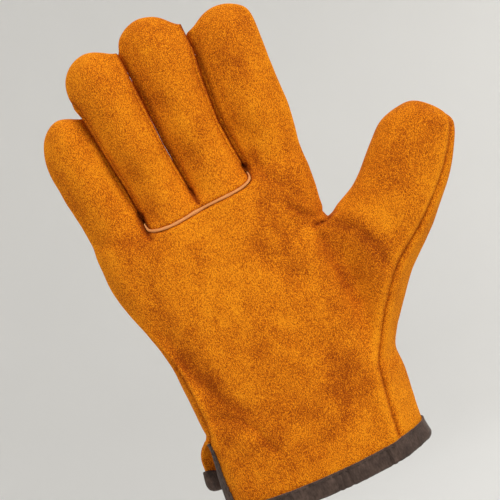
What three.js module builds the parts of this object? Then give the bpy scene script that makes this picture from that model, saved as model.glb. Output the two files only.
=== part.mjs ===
// A short suede work glove for the right hand, in the form that it has when worn.
// X points to the thumb side, -Y out of the palm and +Z to the fingertips, in millimetres.
// The origin is the centre of the wrist opening.

import * as THREE from 'three';

// Driving sizes
const GLOVE_LENGTH = 242;
const PALM_WIDTH = 114;
const HAND_DEPTH = 38;
const FINGER_DEPTH = 25;
const THUMB_DEPTH = 29;
const LEATHER = 1.4;
const SEAM_GAP = 0.4;
const SEAM_DIP = 0.35;
const TAPE_WIDTH = 7.6;
const TAPE = 0.8;
const TAPE_GAP = 0.35;
const WELT_SIZE = 1.6;
const WELT_GAP = 0.3;

// How round the sections are: 2 is an ellipse and more is squarer
const PALM_SQUARENESS = 2.5;
const FINGER_SQUARENESS = 2.3;

// Rows of the hand from the hem up. up is a share of the length, left and right of the palm's width from
// the middle line. seam is how far the little finger side's seam lies in on the palm, corner is where the
// thumb side's seam or front corner runs, both in shares of the palm's width. deep is a share of the depth.
const HAND_ROWS = [
  { up: 0.0, left: -0.435, right: 0.468, seam: 0.01, corner: 0.342, deep: 1.0 },
  { up: 0.035, left: -0.44, right: 0.463, seam: 0.01, corner: 0.342, deep: 1.0 },
  { up: 0.1, left: -0.44, right: 0.475, seam: 0.02, corner: 0.36, deep: 0.99 },
  { up: 0.16, left: -0.44, right: 0.485, seam: 0.034, corner: 0.38, deep: 0.98 },
  { up: 0.2, left: -0.44, right: 0.495, seam: 0.05, corner: 0.41, deep: 0.98 },
  { up: 0.295, left: -0.446, right: 0.5, seam: 0.048, corner: 0.43, deep: 0.98 },
  { up: 0.395, left: -0.47, right: 0.48, seam: 0.018, corner: 0.435, deep: 0.97 },
  { up: 0.49, left: -0.52, right: 0.45, seam: 0.0, corner: 0.4, deep: 0.94 },
  { up: 0.55, left: -0.535, right: 0.455, seam: 0.0, corner: 0.415, deep: 0.89 },
  { up: 0.605, left: -0.535, right: 0.465, seam: 0.0, corner: 0.425, deep: 0.82 },
  { up: 0.637, left: -0.535, right: 0.467, seam: 0.0, corner: 0.425, deep: 0.76 },
];
const FINGER_ROW = HAND_ROWS.length - 1;
const WELT_ROW = FINGER_ROW - 1;
const SLIT_ROWS = 3;
const THUMB_ROW = 4;
const THUMB_ROWS = 3;

// The front columns between the two sides, as shares of the way across, with the last one after the table.
// They run under the middle of each finger and between the fingers. rise lifts the welt's row, as a share
// of the length, and dip is how much shallower the hand is there at the row where the fingers part.
const COLUMNS = [
  { across: 0.06, rise: 0.0, dip: 0.0 },
  { across: 0.15, rise: -0.002, dip: 0.0 },
  { across: 0.25, rise: -0.006, dip: 0.42 },
  { across: 0.37, rise: -0.014, dip: 0.0 },
  { across: 0.49, rise: -0.003, dip: 0.34 },
  { across: 0.615, rise: -0.004, dip: 0.0 },
  { across: 0.74, rise: 0.003, dip: 0.4 },
  { across: 0.86, rise: 0.002, dip: 0.0 },
];
const LAST_COLUMN = 0.955;
const CROTCH_RISE = 0.014;

// How deep the valleys between the fingers are at the finger row and in the rows below it
const PARTING = [1, 0.35, 0.05];

// Sections of each finger above the finger row, and its tip last. left and right are shares of the palm's
// width. lean is how far the section's middle lies toward the palm, deep its depth, in finger depths.
const FINGERS = [
  {
    name: 'little',
    sections: [
      { up: 0.7, left: -0.538, right: -0.3, lean: 0.05, deep: 1.0 },
      { up: 0.745, left: -0.548, right: -0.312, lean: 0.12, deep: 1.0 },
      { up: 0.8, left: -0.55, right: -0.326, lean: 0.2, deep: 0.98 },
      { up: 0.85, left: -0.517, right: -0.345, lean: 0.25, deep: 0.8 },
    ],
    tip: { up: 0.878, across: -0.435, lean: 0.27 },
  },
  {
    name: 'ring',
    sections: [
      { up: 0.7, left: -0.288, right: -0.063, lean: 0.15, deep: 1.0 },
      { up: 0.75, left: -0.302, right: -0.073, lean: 0.3, deep: 1.02 },
      { up: 0.825, left: -0.315, right: -0.08, lean: 0.42, deep: 1.02 },
      { up: 0.892, left: -0.342, right: -0.09, lean: 0.5, deep: 1.0 },
      { up: 0.942, left: -0.317, right: -0.118, lean: 0.54, deep: 0.76 },
    ],
    tip: { up: 0.971, across: -0.22, lean: 0.55 },
  },
  {
    name: 'middle',
    sections: [
      { up: 0.7, left: -0.053, right: 0.186, lean: 0.1, deep: 1.0 },
      { up: 0.75, left: -0.065, right: 0.178, lean: 0.2, deep: 1.04 },
      { up: 0.835, left: -0.07, right: 0.186, lean: 0.3, deep: 1.04 },
      { up: 0.905, left: -0.077, right: 0.2, lean: 0.36, deep: 1.0 },
      { up: 0.963, left: -0.062, right: 0.155, lean: 0.4, deep: 0.75 },
    ],
    tip: { up: 0.994, across: 0.047, lean: 0.4 },
  },
  {
    name: 'index',
    sections: [
      { up: 0.7, left: 0.198, right: 0.472, lean: 0.05, deep: 1.0 },
      { up: 0.75, left: 0.187, right: 0.478, lean: 0.1, deep: 1.06 },
      { up: 0.825, left: 0.197, right: 0.48, lean: 0.16, deep: 1.06 },
      { up: 0.888, left: 0.217, right: 0.486, lean: 0.2, deep: 1.0 },
      { up: 0.932, left: 0.245, right: 0.474, lean: 0.22, deep: 0.76 },
    ],
    tip: { up: 0.96, across: 0.365, lean: 0.24 },
  },
];

// Sections of the thumb from its root out, by the lower and the upper end of each in the palm's plane.
// out is a share of the palm's width and up of the length. lean and deep are in thumb depths. seam is how
// far the seam on the palm side lies from the lower end, as a share of the way to the upper one.
const THUMB_SECTIONS = [
  { low_out: 0.58, low_up: 0.258, high_out: 0.497, high_up: 0.498, seam: 0.22, lean: 0.1, deep: 1.1 },
  { low_out: 0.693, low_up: 0.325, high_out: 0.58, high_up: 0.517, seam: 0.18, lean: 0.14, deep: 1.07 },
  { low_out: 0.812, low_up: 0.373, high_out: 0.67, high_up: 0.552, seam: 0.15, lean: 0.18, deep: 1.03 },
  { low_out: 0.925, low_up: 0.43, high_out: 0.757, high_up: 0.595, seam: 0.11, lean: 0.22, deep: 0.98 },
  { low_out: 1.018, low_up: 0.488, high_out: 0.835, high_up: 0.621, seam: 0.09, lean: 0.25, deep: 0.9 },
  { low_out: 1.074, low_up: 0.541, high_out: 0.918, high_up: 0.63, seam: 0.08, lean: 0.27, deep: 0.68 },
];
const THUMB_TIP = { out: 1.035, up: 0.598, lean: 0.28, half: 0.038 };

// The cuff. The hem of the palm is level, with a round corner at the slit, and the back's hem climbs to the
// slit with the power climb. The rises and the sag are shares of the length, corner_in and flare of the
// palm's width, and front_lies and back_lies of the hand's depth. side is how much of the back's rise the
// closed side has, flare_at and flare_less are how much of the flare the first column behind has and how
// much less each next one has, and follow is how much the back's first column gives way to the seam.
const CUFF = {
  corner_rise: 0.02,
  corner_in: 0.03,
  front_rise: 0.004,
  front_sag: 0.012,
  front_lies: -0.12,
  back_rise: 0.078,
  back_lies: 0.1,
  climb: 0.8,
  side: 0.6,
  flare: 0.055,
  flare_at: 0.8,
  flare_less: 0.3,
  follow: 0.6,
};

// Where the seams of a finger's front and back run, as shares of its half width
const FRONT_EDGE = 0.9;
const BACK_EDGE = 0.64;

// Folds and hollows in the palm side, from one end to the other. x is a share of the palm's width and z of
// the length. wide and deep are in thicknesses of the leather. They run along the thumb's root, beside the
// thumb, from the thumb to the palm, down the heel, and across the roots of three fingers.
const FOLDS = [
  { x1: 0.42, z1: 0.475, x2: 0.55, z2: 0.42, wide: 3.2, deep: 1.5 },
  { x1: 0.55, z1: 0.42, x2: 0.56, z2: 0.35, wide: 3.2, deep: 1.2 },
  { x1: 0.39, z1: 0.46, x2: 0.39, z2: 0.3, wide: 3.8, deep: 0.7 },
  { x1: 0.33, z1: 0.54, x2: 0.41, z2: 0.49, wide: 2.6, deep: 0.6 },
  { x1: -0.3, z1: 0.3, x2: -0.27, z2: 0.19, wide: 6.0, deep: 0.9 },
  { x1: -0.28, z1: 0.19, x2: -0.17, z2: 0.13, wide: 3.2, deep: 0.7 },
  { x1: -0.47, z1: 0.66, x2: -0.36, z2: 0.66, wide: 3.5, deep: 0.6 },
  { x1: -0.27, z1: 0.7, x2: -0.17, z2: 0.7, wide: 3.5, deep: 0.6 },
  { x1: 0.0, z1: 0.69, x2: 0.12, z2: 0.69, wide: 3.5, deep: 0.6 },
];

// How often the cage is divided into the surface
const DIVISIONS = 1;
const FITTING_ROUNDS = 12;

const SUEDE = { color: 0xd67a14, roughness: 0.95, metalness: 0 };
const SUEDE_BACK = { color: 0xcf7416, roughness: 0.95, metalness: 0 };
const PALE_EDGE = { color: 0xe1a064, roughness: 0.9, metalness: 0 };
const DARK_TAPE = { color: 0x50463f, roughness: 0.85, metalness: 0 };

const wide = (share) => share * PALM_WIDTH;
const high = (share) => share * GLOVE_LENGTH;
const mix = (a, b, t) => a + (b - a) * t;

// Half the thickness at a share u of the half width, as a rounded section has it
function fullness(u, squareness) {
  return Math.pow(Math.max(0, 1 - Math.pow(Math.abs(u), squareness)), 1 / squareness);
}

// The cage: points with the place that the finished surface has there, and faces of four with the
// name of the panel that they belong to. tape marks the corners of a face that lie under the binding.
const cage = { points: [], faces: [] };

function addPoint(x, y, z) {
  cage.points.push(new THREE.Vector3(x, y, z));
  return cage.points.length - 1;
}

function addFace(corners, panel, tape = [false, false, false, false]) {
  cage.faces.push({ corners, panel, tape });
}

// Heights of the cuff's rows. They fan out from the hem to the row where the thumb begins.
function rowHeight(row, hem) {
  const top = high(HAND_ROWS[THUMB_ROW].up);
  if (row >= THUMB_ROW) return high(HAND_ROWS[row].up);
  if (row === 0) return hem;
  const tape = hem + TAPE_WIDTH;
  const first = HAND_ROWS[1].up;
  const share = (HAND_ROWS[row].up - first) / (HAND_ROWS[THUMB_ROW].up - first);
  return mix(tape, top, share);
}

// One point of a hand row: on the front or the back, at x, with the given hem below it
function handPoint(row, x, side, hem, rise = 0, dip = 0) {
  const { left, right, deep } = HAND_ROWS[row];
  const middle = wide((left + right) / 2);
  const half = wide((right - left) / 2);
  const y = 0.5 * HAND_DEPTH * deep * fullness((x - middle) / half, PALM_SQUARENESS) * (1 - dip);
  return addPoint(x, side * y, rowHeight(row, hem) + high(rise));
}

// The left side of a cuff row, where the slit parts the palm from the back
function slitPoints(row) {
  const { left, seam } = HAND_ROWS[row];
  const open = 1 - row / SLIT_ROWS;
  const rise = row === 0 ? high(CUFF.corner_rise) : 0;
  const edge = wide(left + seam + (row === 0 ? CUFF.corner_in : 0));
  const height = rowHeight(row, high(CUFF.front_rise)) + rise;
  const front = addPoint(edge, CUFF.front_lies * HAND_DEPTH, height);
  const flap = wide(left - CUFF.flare * Math.sqrt(open));
  const back = addPoint(flap, CUFF.back_lies * HAND_DEPTH, rowHeight(row, high(CUFF.back_rise)));
  return [front, back];
}

// A row of the hand: left side, nine front points, right side, nine back points and the left side again
function handRow(row) {
  const { left, right, seam, corner } = HAND_ROWS[row];
  const parting = PARTING[FINGER_ROW - row] ?? 0;
  const xs = COLUMNS.map(({ across }) => wide(mix(left + seam, right, across)));
  const squeeze = (wide(corner) - xs[0]) / (wide(mix(left, right, LAST_COLUMN)) - xs[0]);
  const frontX = xs.map((x) => xs[0] + (x - xs[0]) * squeeze).concat([wide(corner)]);
  const backX = COLUMNS.map(({ across }) => wide(mix(left, right, across)));
  backX.push(wide(mix(left, right, LAST_COLUMN)));
  backX[0] -= wide(seam) * CUFF.follow;
  const open = Math.max(0, 1 - row / SLIT_ROWS);
  const hemBack = (x) => {
    const share = (x / PALM_WIDTH + 0.5) ** CUFF.climb;
    return high(mix(CUFF.back_rise, CUFF.front_rise, share));
  };
  const hemFront = (x) => high(CUFF.front_rise - CUFF.front_sag * (1 - (2 * x / PALM_WIDTH) ** 2));

  const [slitFront, slitBack] = row < SLIT_ROWS ? slitPoints(row) : [null, null];
  const leftHeight = high(CUFF.back_rise) * CUFF.side;
  const start = slitFront ?? handPoint(row, wide(left + seam), -1, leftHeight);
  const ring = [start];
  for (let i = 0; i < frontX.length; i++) {
    const { rise, dip } = COLUMNS[i] ?? { rise: 0, dip: 0 };
    const lift = row === WELT_ROW ? rise : 0;
    ring.push(handPoint(row, frontX[i], -1, hemFront(frontX[i]), lift, dip * parting));
  }
  ring.push(addPoint(wide(right), 0, rowHeight(row, hemFront(wide(right)))));
  for (let i = backX.length - 1; i >= 0; i--) {
    const { dip } = COLUMNS[i] ?? { dip: 0 };
    const point = handPoint(row, backX[i], 1, hemBack(backX[i]), 0, dip * parting);
    const share = Math.max(0, CUFF.flare_at - CUFF.flare_less * i);
    cage.points[point].x -= wide(CUFF.flare) * open * share;
    ring.push(point);
  }
  ring.push(slitBack ?? start);
  return ring;
}

const FRONT = {
  little: 'palm_panel',
  ring: 'two_finger_panel',
  middle: 'two_finger_panel',
  index: 'palm_panel',
};
const FOURCHETTES = ['fourchette_little_ring', 'fourchette_ring_middle', 'fourchette_middle_index'];
const RIGHT_SIDE = COLUMNS.length + 2;
const WELT_COLUMNS = { first: 3, last: 7 };

function handPanel(row, column) {
  const onWeltColumn = column >= WELT_COLUMNS.first && column < WELT_COLUMNS.last;
  if (row === WELT_ROW && onWeltColumn) return 'two_finger_panel';
  if (column > RIGHT_SIDE - 1) return 'back_panel';
  if (column === RIGHT_SIDE - 1 && row < THUMB_ROW) return 'back_panel';
  return 'palm_panel';
}

function buildHand() {
  const rows = HAND_ROWS.map((_, row) => handRow(row));
  const columns = rows[0].length - 1;
  for (let row = 0; row < rows.length - 1; row++) {
    for (let column = 0; column < columns; column++) {
      const inThumb = row >= THUMB_ROW && row < THUMB_ROW + THUMB_ROWS;
      if (inThumb && (column === RIGHT_SIDE - 1 || column === RIGHT_SIDE)) continue;
      const low = rows[row];
      const top = rows[row + 1];
      const bySlit = column === 0 || column === columns - 1;
      const lower = row === 0 || (bySlit && row < SLIT_ROWS);
      const upper = row === 0 || (bySlit && row < SLIT_ROWS - 1);
      const corners = [low[column], low[column + 1], top[column + 1], top[column]];
      addFace(corners, handPanel(row, column), [lower, lower, upper, upper]);
    }
  }
  return rows;
}

// A finger: rings of eight from the finger row to the tip, which four faces close
function buildFinger(index, top, crotches) {
  const { name, sections, tip } = FINGERS[index];
  const front = 1 + 2 * index;
  const back = top.length - 2 - 2 * index;
  let ring = [
    top[front], top[front + 1], top[front + 2], crotches[index + 1],
    top[back - 2], top[back - 1], top[back], crotches[index],
  ];
  const [f, b] = [FRONT_EDGE, BACK_EDGE];
  const places = [[-f, -1], [0, -1], [f, -1], [1, 0], [b, 1], [0, 1], [-b, 1], [-1, 0]];
  const panels = (last) => {
    const inner = index > 0 && !last ? FOURCHETTES[index - 1] : null;
    const outer = index < 3 && !last ? FOURCHETTES[index] : null;
    return [
      FRONT[name], FRONT[name], outer ?? FRONT[name], outer ?? 'back_panel',
      'back_panel', 'back_panel', inner ?? 'back_panel', inner ?? FRONT[name],
    ];
  };
  sections.forEach(({ up, left, right, lean, deep }, level) => {
    const next = places.map(([u, side]) => {
      const x = wide((left + right) / 2 + u * (right - left) / 2);
      const y = side * 0.5 * FINGER_DEPTH * deep * fullness(u, FINGER_SQUARENESS);
      return addPoint(x, y - lean * FINGER_DEPTH, high(up));
    });
    const names = panels(level === sections.length - 1);
    for (let i = 0; i < ring.length; i++) {
      const j = (i + 1) % ring.length;
      addFace([ring[i], ring[j], next[j], next[i]], names[i]);
    }
    ring = next;
  });
  const end = addPoint(wide(tip.across), -tip.lean * FINGER_DEPTH, high(tip.up));
  for (let i = 0; i < ring.length; i += 2) {
    const before = (i + ring.length - 1) % ring.length;
    const corners = [ring[before], ring[i], ring[i + 1], end];
    addFace(corners, i === 0 || i === 2 ? FRONT[name] : 'back_panel');
  }
}

// The thumb: rings of ten from the hole in the hand's side, closed by a cap with two points inside
function buildThumb(rows) {
  const hole = rows.slice(THUMB_ROW, THUMB_ROW + THUMB_ROWS + 1);
  const frontColumn = RIGHT_SIDE - 1;
  const backColumn = RIGHT_SIDE + 1;
  const down = [...hole].reverse();
  let ring = [
    down[0][RIGHT_SIDE], ...down.map((row) => row[frontColumn]),
    hole[0][RIGHT_SIDE], ...hole.map((row) => row[backColumn]),
  ];
  const count = ring.length;
  const seam = 4;
  const topSeam = 9;
  THUMB_SECTIONS.forEach((section) => {
    const { low_out, low_up, high_out, high_up, lean, deep } = section;
    const seamTurn = Math.PI / 2 - Math.asin(2 * section.seam - 1);
    const next = ring.map((_, i) => {
      const turn = i <= seam ? (seamTurn * i) / seam : (2 * Math.PI * i) / count;
      const angle = Math.PI / 2 - turn;
      const share = (1 + Math.sin(angle)) / 2;
      const y = -0.5 * THUMB_DEPTH * deep * Math.cos(angle) - lean * THUMB_DEPTH;
      return addPoint(wide(mix(low_out, high_out, share)), y, high(mix(low_up, high_up, share)));
    });
    for (let i = 0; i < count; i++) {
      const j = (i + 1) % count;
      const onPalm = i < seam || i >= topSeam;
      addFace([ring[i], ring[j], next[j], next[i]], onPalm ? 'palm_panel' : 'back_panel');
    }
    ring = next;
  });
  const { out, up, lean, half } = THUMB_TIP;
  const lower = addPoint(wide(out + half), -lean * THUMB_DEPTH, high(up - half / 2));
  const upper = addPoint(wide(out - half), -lean * THUMB_DEPTH, high(up + half / 2));
  addFace([ring[9], ring[0], ring[1], upper], 'palm_panel');
  addFace([ring[1], ring[2], lower, upper], 'palm_panel');
  addFace([ring[2], ring[3], ring[4], lower], 'palm_panel');
  addFace([ring[4], ring[5], ring[6], lower], 'back_panel');
  addFace([ring[6], ring[7], upper, lower], 'back_panel');
  addFace([ring[7], ring[8], ring[9], upper], 'back_panel');
}

function buildCage() {
  const rows = buildHand();
  const top = rows[FINGER_ROW];
  const between = [2, 4, 6].map((i) => {
    const { across } = COLUMNS[i];
    const { left, right, up } = HAND_ROWS[FINGER_ROW];
    return addPoint(wide(mix(left, right, across)), 0, high(up + CROTCH_RISE));
  });
  const crotches = [top[0], ...between, top[RIGHT_SIDE]];
  FINGERS.forEach((_, index) => buildFinger(index, top, crotches));
  buildThumb(rows);
}

function edgeKey(a, b) {
  return a < b ? `${a} ${b}` : `${b} ${a}`;
}

// The edges of a mesh, each with its two ends in their order round its first face, and the faces on it
function edgesOf(faces) {
  const edges = new Map();
  faces.forEach((face, f) => {
    face.corners.forEach((a, i) => {
      const b = face.corners[(i + 1) % 4];
      const key = edgeKey(a, b);
      if (!edges.has(key)) edges.set(key, { ends: [a, b], faces: [] });
      edges.get(key).faces.push(f);
    });
  });
  return edges;
}

// The open edges of some faces, in their order round each face
function rimOf(faces) {
  const single = [...edgesOf(faces).values()].filter((edge) => edge.faces.length === 1);
  return single.map(({ ends }) => ends);
}

function average(points) {
  const sum = new THREE.Vector3();
  points.forEach((p) => sum.add(p));
  return sum.divideScalar(points.length);
}

// One division of the cage by the rule of Catmull and Clark. The hem and the slit stay sharp edges.
function divide({ points, faces }) {
  const centres = faces.map(({ corners }) => average(corners.map((c) => points[c])));
  const edges = edgesOf(faces);
  const around = points.map(() => ({ faces: [], mids: [], rim: [] }));
  faces.forEach(({ corners }, f) => corners.forEach((c) => around[c].faces.push(centres[f])));
  for (const edge of edges.values()) {
    const [a, b] = edge.ends;
    const middle = points[a].clone().add(points[b]).multiplyScalar(0.5);
    edge.point = edge.faces.length === 2
      ? average([points[a], points[b], centres[edge.faces[0]], centres[edge.faces[1]]])
      : middle;
    for (const [end, other] of [[a, b], [b, a]]) {
      around[end].mids.push(middle);
      if (edge.faces.length === 1) around[end].rim.push(points[other]);
    }
  }
  const moved = points.map((p, i) => {
    const { faces: near, mids, rim } = around[i];
    if (rim.length === 2) return p.clone().multiplyScalar(6).add(rim[0]).add(rim[1]).divideScalar(8);
    const n = near.length;
    return average(near).add(average(mids).multiplyScalar(2)).addScaledVector(p, n - 3).divideScalar(n);
  });
  const finer = { points: moved, faces: [] };
  for (const edge of edges.values()) edge.index = finer.points.push(edge.point) - 1;
  faces.forEach(({ corners, panel, tape }, f) => {
    const centre = finer.points.push(centres[f]) - 1;
    corners.forEach((c, i) => {
      const next = corners[(i + 1) % 4];
      const before = corners[(i + 3) % 4];
      const index = (a, b) => edges.get(edgeKey(a, b)).index;
      const quad = [c, index(c, next), centre, index(before, c)];
      finer.faces.push({ corners: quad, panel, tape: Array(4).fill(tape[i]) });
    });
  });
  return finer;
}

// Where each point of a mesh ends up on the finished smooth surface
function limitPlaces({ points, faces }) {
  const sums = points.map(() => ({ edges: new Map(), across: new THREE.Vector3(), rim: [], n: 0 }));
  faces.forEach(({ corners }) => {
    corners.forEach((c, i) => {
      sums[c].n += 1;
      sums[c].across.add(points[corners[(i + 2) % 4]]);
      for (const side of [1, 3]) {
        const other = corners[(i + side) % 4];
        sums[c].edges.set(other, points[other]);
      }
    });
  });
  for (const [a, b] of rimOf(faces)) {
    sums[a].rim.push(points[b]);
    sums[b].rim.push(points[a]);
  }
  return points.map((p, i) => {
    const { edges, across, rim, n } = sums[i];
    if (rim.length === 2) return p.clone().multiplyScalar(4).add(rim[0]).add(rim[1]).divideScalar(6);
    const sum = p.clone().multiplyScalar(n * n);
    for (const other of edges.values()) sum.addScaledVector(other, 4);
    return sum.add(across).divideScalar(n * (n + 5));
  });
}

// Move the cage so that the smooth surface runs through the places in the tables
function fitCage({ points, faces }) {
  let control = points.map((p) => p.clone());
  for (let round = 0; round < FITTING_ROUNDS; round++) {
    const reached = limitPlaces({ points: control, faces });
    control = control.map((p, i) => p.clone().add(points[i]).sub(reached[i]));
  }
  return { points: control, faces };
}

function normalsOf(points, faces) {
  const normals = points.map(() => new THREE.Vector3());
  faces.forEach(({ corners }) => {
    const [a, b, c, d] = corners.map((i) => points[i]);
    const normal = c.clone().sub(a).cross(d.clone().sub(b));
    corners.forEach((i) => normals[i].add(normal));
  });
  return normals.map((n) => n.normalize());
}

// Press the folds into the palm side
function pressFolds(points, normals) {
  points.forEach((p, i) => {
    const facing = Math.max(0, -normals[i].y);
    for (const { x1, z1, x2, z2, wide: reach, deep } of FOLDS) {
      const from = new THREE.Vector2(wide(x1), high(z1));
      const along = new THREE.Vector2(wide(x2), high(z2)).sub(from);
      const here = new THREE.Vector2(p.x, p.z).sub(from);
      const share = THREE.MathUtils.clamp(here.dot(along) / along.lengthSq(), 0, 1);
      const away = here.addScaledVector(along, -share).length() / (reach * LEATHER);
      p.addScaledVector(normals[i], -deep * LEATHER * facing * Math.exp(-away * away));
    }
  });
}

// A closed wall between an outer and an inner skin that share the faces. Each face is parted from its
// first numbered corner, so that skins that lie on each other are parted alike.
function wall(faces, outer, inner) {
  const index = new Map();
  const places = [];
  const vertex = (i, side) => {
    const key = `${i} ${side}`;
    if (!index.has(key)) {
      const p = side === 0 ? outer(i) : inner(i);
      index.set(key, places.push(p.x, p.y, p.z) / 3 - 1);
    }
    return index.get(key);
  };
  const triangles = [];
  const quad = (a, b, c, d) => triangles.push(a, b, c, a, c, d);
  for (const { corners } of faces) {
    const first = corners.indexOf(Math.min(...corners));
    const turned = [0, 1, 2, 3].map((k) => corners[(first + k) % 4]);
    const [a, b, c, d] = turned;
    quad(...turned.map((i) => vertex(i, 0)));
    quad(...[a, d, c, b].map((i) => vertex(i, 1)));
  }
  for (const [a, b] of rimOf(faces)) quad(vertex(b, 0), vertex(a, 0), vertex(a, 1), vertex(b, 1));
  const geometry = new THREE.BufferGeometry();
  geometry.setAttribute('position', new THREE.Float32BufferAttribute(places, 3));
  geometry.setIndex(triangles);
  geometry.computeVertexNormals();
  return geometry;
}

function edgeKeys(faces) {
  return new Set(rimOf(faces).map(([a, b]) => edgeKey(a, b)));
}

// The surface that all panels share
buildCage();
let surface = fitCage(cage);
for (let i = 0; i < DIVISIONS; i++) surface = divide(surface);
const skin = limitPlaces(surface);
pressFolds(skin, normalsOf(skin, surface.faces));
const normals = normalsOf(skin, surface.faces);
const openEdges = edgeKeys(surface.faces);
const tapedFaces = surface.faces.filter(({ tape }) => tape[0]);
const taped = new Set(tapedFaces.flatMap(({ corners }) => corners));

const panelFaces = new Map();
for (const face of surface.faces) {
  if (!panelFaces.has(face.panel)) panelFaces.set(face.panel, []);
  panelFaces.get(face.panel).push(face);
}

const twoFingerEdges = edgeKeys(panelFaces.get('two_finger_panel'));
const palmEdges = edgeKeys(panelFaces.get('palm_panel'));

// The welt fills the seam between the palm and the panel of the ring and the middle finger
function onWelt(a, b) {
  const key = edgeKey(a, b);
  return twoFingerEdges.has(key) && palmEdges.has(key);
}

const besideFourchette = new Set();
for (const name of FOURCHETTES) {
  for (const { corners } of panelFaces.get(name)) corners.forEach((i) => besideFourchette.add(i));
}

// How far each rim point of a panel draws back from its seams, and where the panel's seams dip. Where two
// rims meet at a point, it draws back from both, with sharp corners held to SHARPEST and rims closer to a
// straight line than STRAIGHT taken as one.
const SHARPEST = -0.8;
const STRAIGHT = 0.999;
function drawBack(faces) {
  const pulls = new Map();
  for (const [a, b] of rimOf(faces)) {
    const along = skin[b].clone().sub(skin[a]);
    for (const i of [a, b]) {
      const bead = onWelt(a, b) && !besideFourchette.has(i);
      const sewn = openEdges.has(edgeKey(a, b)) ? 0 : SEAM_GAP / 2;
      const gap = bead ? WELT_SIZE / 2 + WELT_GAP : sewn;
      const inward = normals[i].clone().cross(along).normalize();
      if (!pulls.has(i)) pulls.set(i, []);
      pulls.get(i).push({ inward, gap });
    }
  }
  const moves = new Map();
  for (const [i, [first, second]] of pulls) {
    const meet = THREE.MathUtils.clamp(first.inward.dot(second.inward), SHARPEST, 1);
    const move = new THREE.Vector3();
    if (meet > STRAIGHT) {
      move.copy(first.inward).multiplyScalar(Math.max(first.gap, second.gap));
    } else {
      const share = 1 - meet * meet;
      move.addScaledVector(first.inward, (first.gap - meet * second.gap) / share);
      move.addScaledVector(second.inward, (second.gap - meet * first.gap) / share);
    }
    moves.set(i, { move, dip: taped.has(i) ? 0 : SEAM_DIP });
  }
  return moves;
}

function panelGeometry(faces) {
  const moves = drawBack(faces);
  const place = (i, depth) => {
    const p = skin[i].clone().addScaledVector(normals[i], -depth);
    return moves.has(i) ? p.add(moves.get(i).move) : p;
  };
  const outer = (i) => place(i, moves.get(i)?.dip ?? 0);
  const inner = (i) => place(i, LEATHER);
  return wall(faces, outer, inner);
}

// The binding: a tape on the outside, round the open edge and back up on the inside
function bindingGeometry() {
  const outward = new Map();
  const hem = rimOf(tapedFaces).filter(([a, b]) => openEdges.has(edgeKey(a, b)));
  for (const [a, b] of hem) {
    const along = skin[b].clone().sub(skin[a]).normalize();
    for (const i of [a, b]) {
      if (!outward.has(i)) outward.set(i, new THREE.Vector3());
      outward.get(i).add(along.clone().cross(normals[i]));
    }
  }
  for (const direction of outward.values()) direction.normalize();

  const count = skin.length;
  const [OUTSIDE, EDGE_OUT, EDGE_IN, INSIDE] = [0, 1, 2, 3];
  const faces = [];
  const on = (layer, i) => layer * count + i;
  for (const { corners } of tapedFaces) {
    faces.push({ corners: corners.map((c) => on(OUTSIDE, c)) });
    faces.push({ corners: [...corners].reverse().map((c) => on(INSIDE, c)) });
  }
  for (const [a, b] of hem) {
    for (const layer of [OUTSIDE, EDGE_OUT, EDGE_IN]) {
      faces.push({ corners: [on(layer, b), on(layer, a), on(layer + 1, a), on(layer + 1, b)] });
    }
  }
  const place = (distance) => (key) => {
    const layer = Math.floor(key / count);
    const i = key % count;
    const rise = [distance, 0, -LEATHER, -LEATHER - distance][layer];
    const p = skin[i].clone().addScaledVector(normals[i], rise);
    if (layer === EDGE_OUT || layer === EDGE_IN) p.addScaledVector(outward.get(i), distance);
    return p;
  };
  return wall(faces, place(TAPE_GAP + TAPE), place(TAPE_GAP));
}

// The welt: a round bead along the seam, between the points where the fourchettes begin
function weltGeometry() {
  const SIDES = 8;
  const next = new Map(rimOf(panelFaces.get('two_finger_panel')).filter(([a, b]) => onWelt(a, b)));
  const ends = new Set(next.values());
  const seam = [[...next.keys()].find((a) => !ends.has(a))];
  while (next.has(seam[seam.length - 1])) seam.push(next.get(seam[seam.length - 1]));
  const path = seam.slice(1, -1);
  const places = [];
  const triangles = [];
  path.forEach((i, k) => {
    const before = skin[path[Math.max(k - 1, 0)]];
    const after = skin[path[Math.min(k + 1, path.length - 1)]];
    const along = after.clone().sub(before).normalize();
    const across = normals[i].clone().cross(along).normalize();
    const up = along.clone().cross(across);
    for (let s = 0; s < SIDES; s++) {
      const angle = (2 * Math.PI * s) / SIDES;
      const p = skin[i].clone().addScaledVector(across, Math.cos(angle) * WELT_SIZE / 2);
      p.addScaledVector(up, Math.sin(angle) * WELT_SIZE / 2 - SEAM_DIP);
      places.push(p.x, p.y, p.z);
    }
  });
  for (let k = 0; k < path.length - 1; k++) {
    for (let s = 0; s < SIDES; s++) {
      const t = (s + 1) % SIDES;
      const [a, b, c, d] = [k * SIDES + s, k * SIDES + t, (k + 1) * SIDES + t, (k + 1) * SIDES + s];
      triangles.push(a, b, c, a, c, d);
    }
  }
  const last = (path.length - 1) * SIDES;
  for (let s = 1; s < SIDES - 1; s++) {
    triangles.push(0, s + 1, s);
    triangles.push(last, last + s, last + s + 1);
  }
  const geometry = new THREE.BufferGeometry();
  geometry.setAttribute('position', new THREE.Float32BufferAttribute(places, 3));
  geometry.setIndex(triangles);
  geometry.computeVertexNormals();
  return geometry;
}

function addPiece(group, name, geometry, finish) {
  const piece = new THREE.Mesh(geometry, new THREE.MeshStandardMaterial(finish));
  piece.name = name;
  group.add(piece);
}

const glove = new THREE.Group();
glove.name = 'glove';
for (const [name, faces] of panelFaces) {
  addPiece(glove, name, panelGeometry(faces), name === 'palm_panel' ? SUEDE : SUEDE_BACK);
}
addPiece(glove, 'finger_welt', weltGeometry(), PALE_EDGE);
addPiece(glove, 'cuff_binding', bindingGeometry(), DARK_TAPE);

export default glove;
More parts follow.
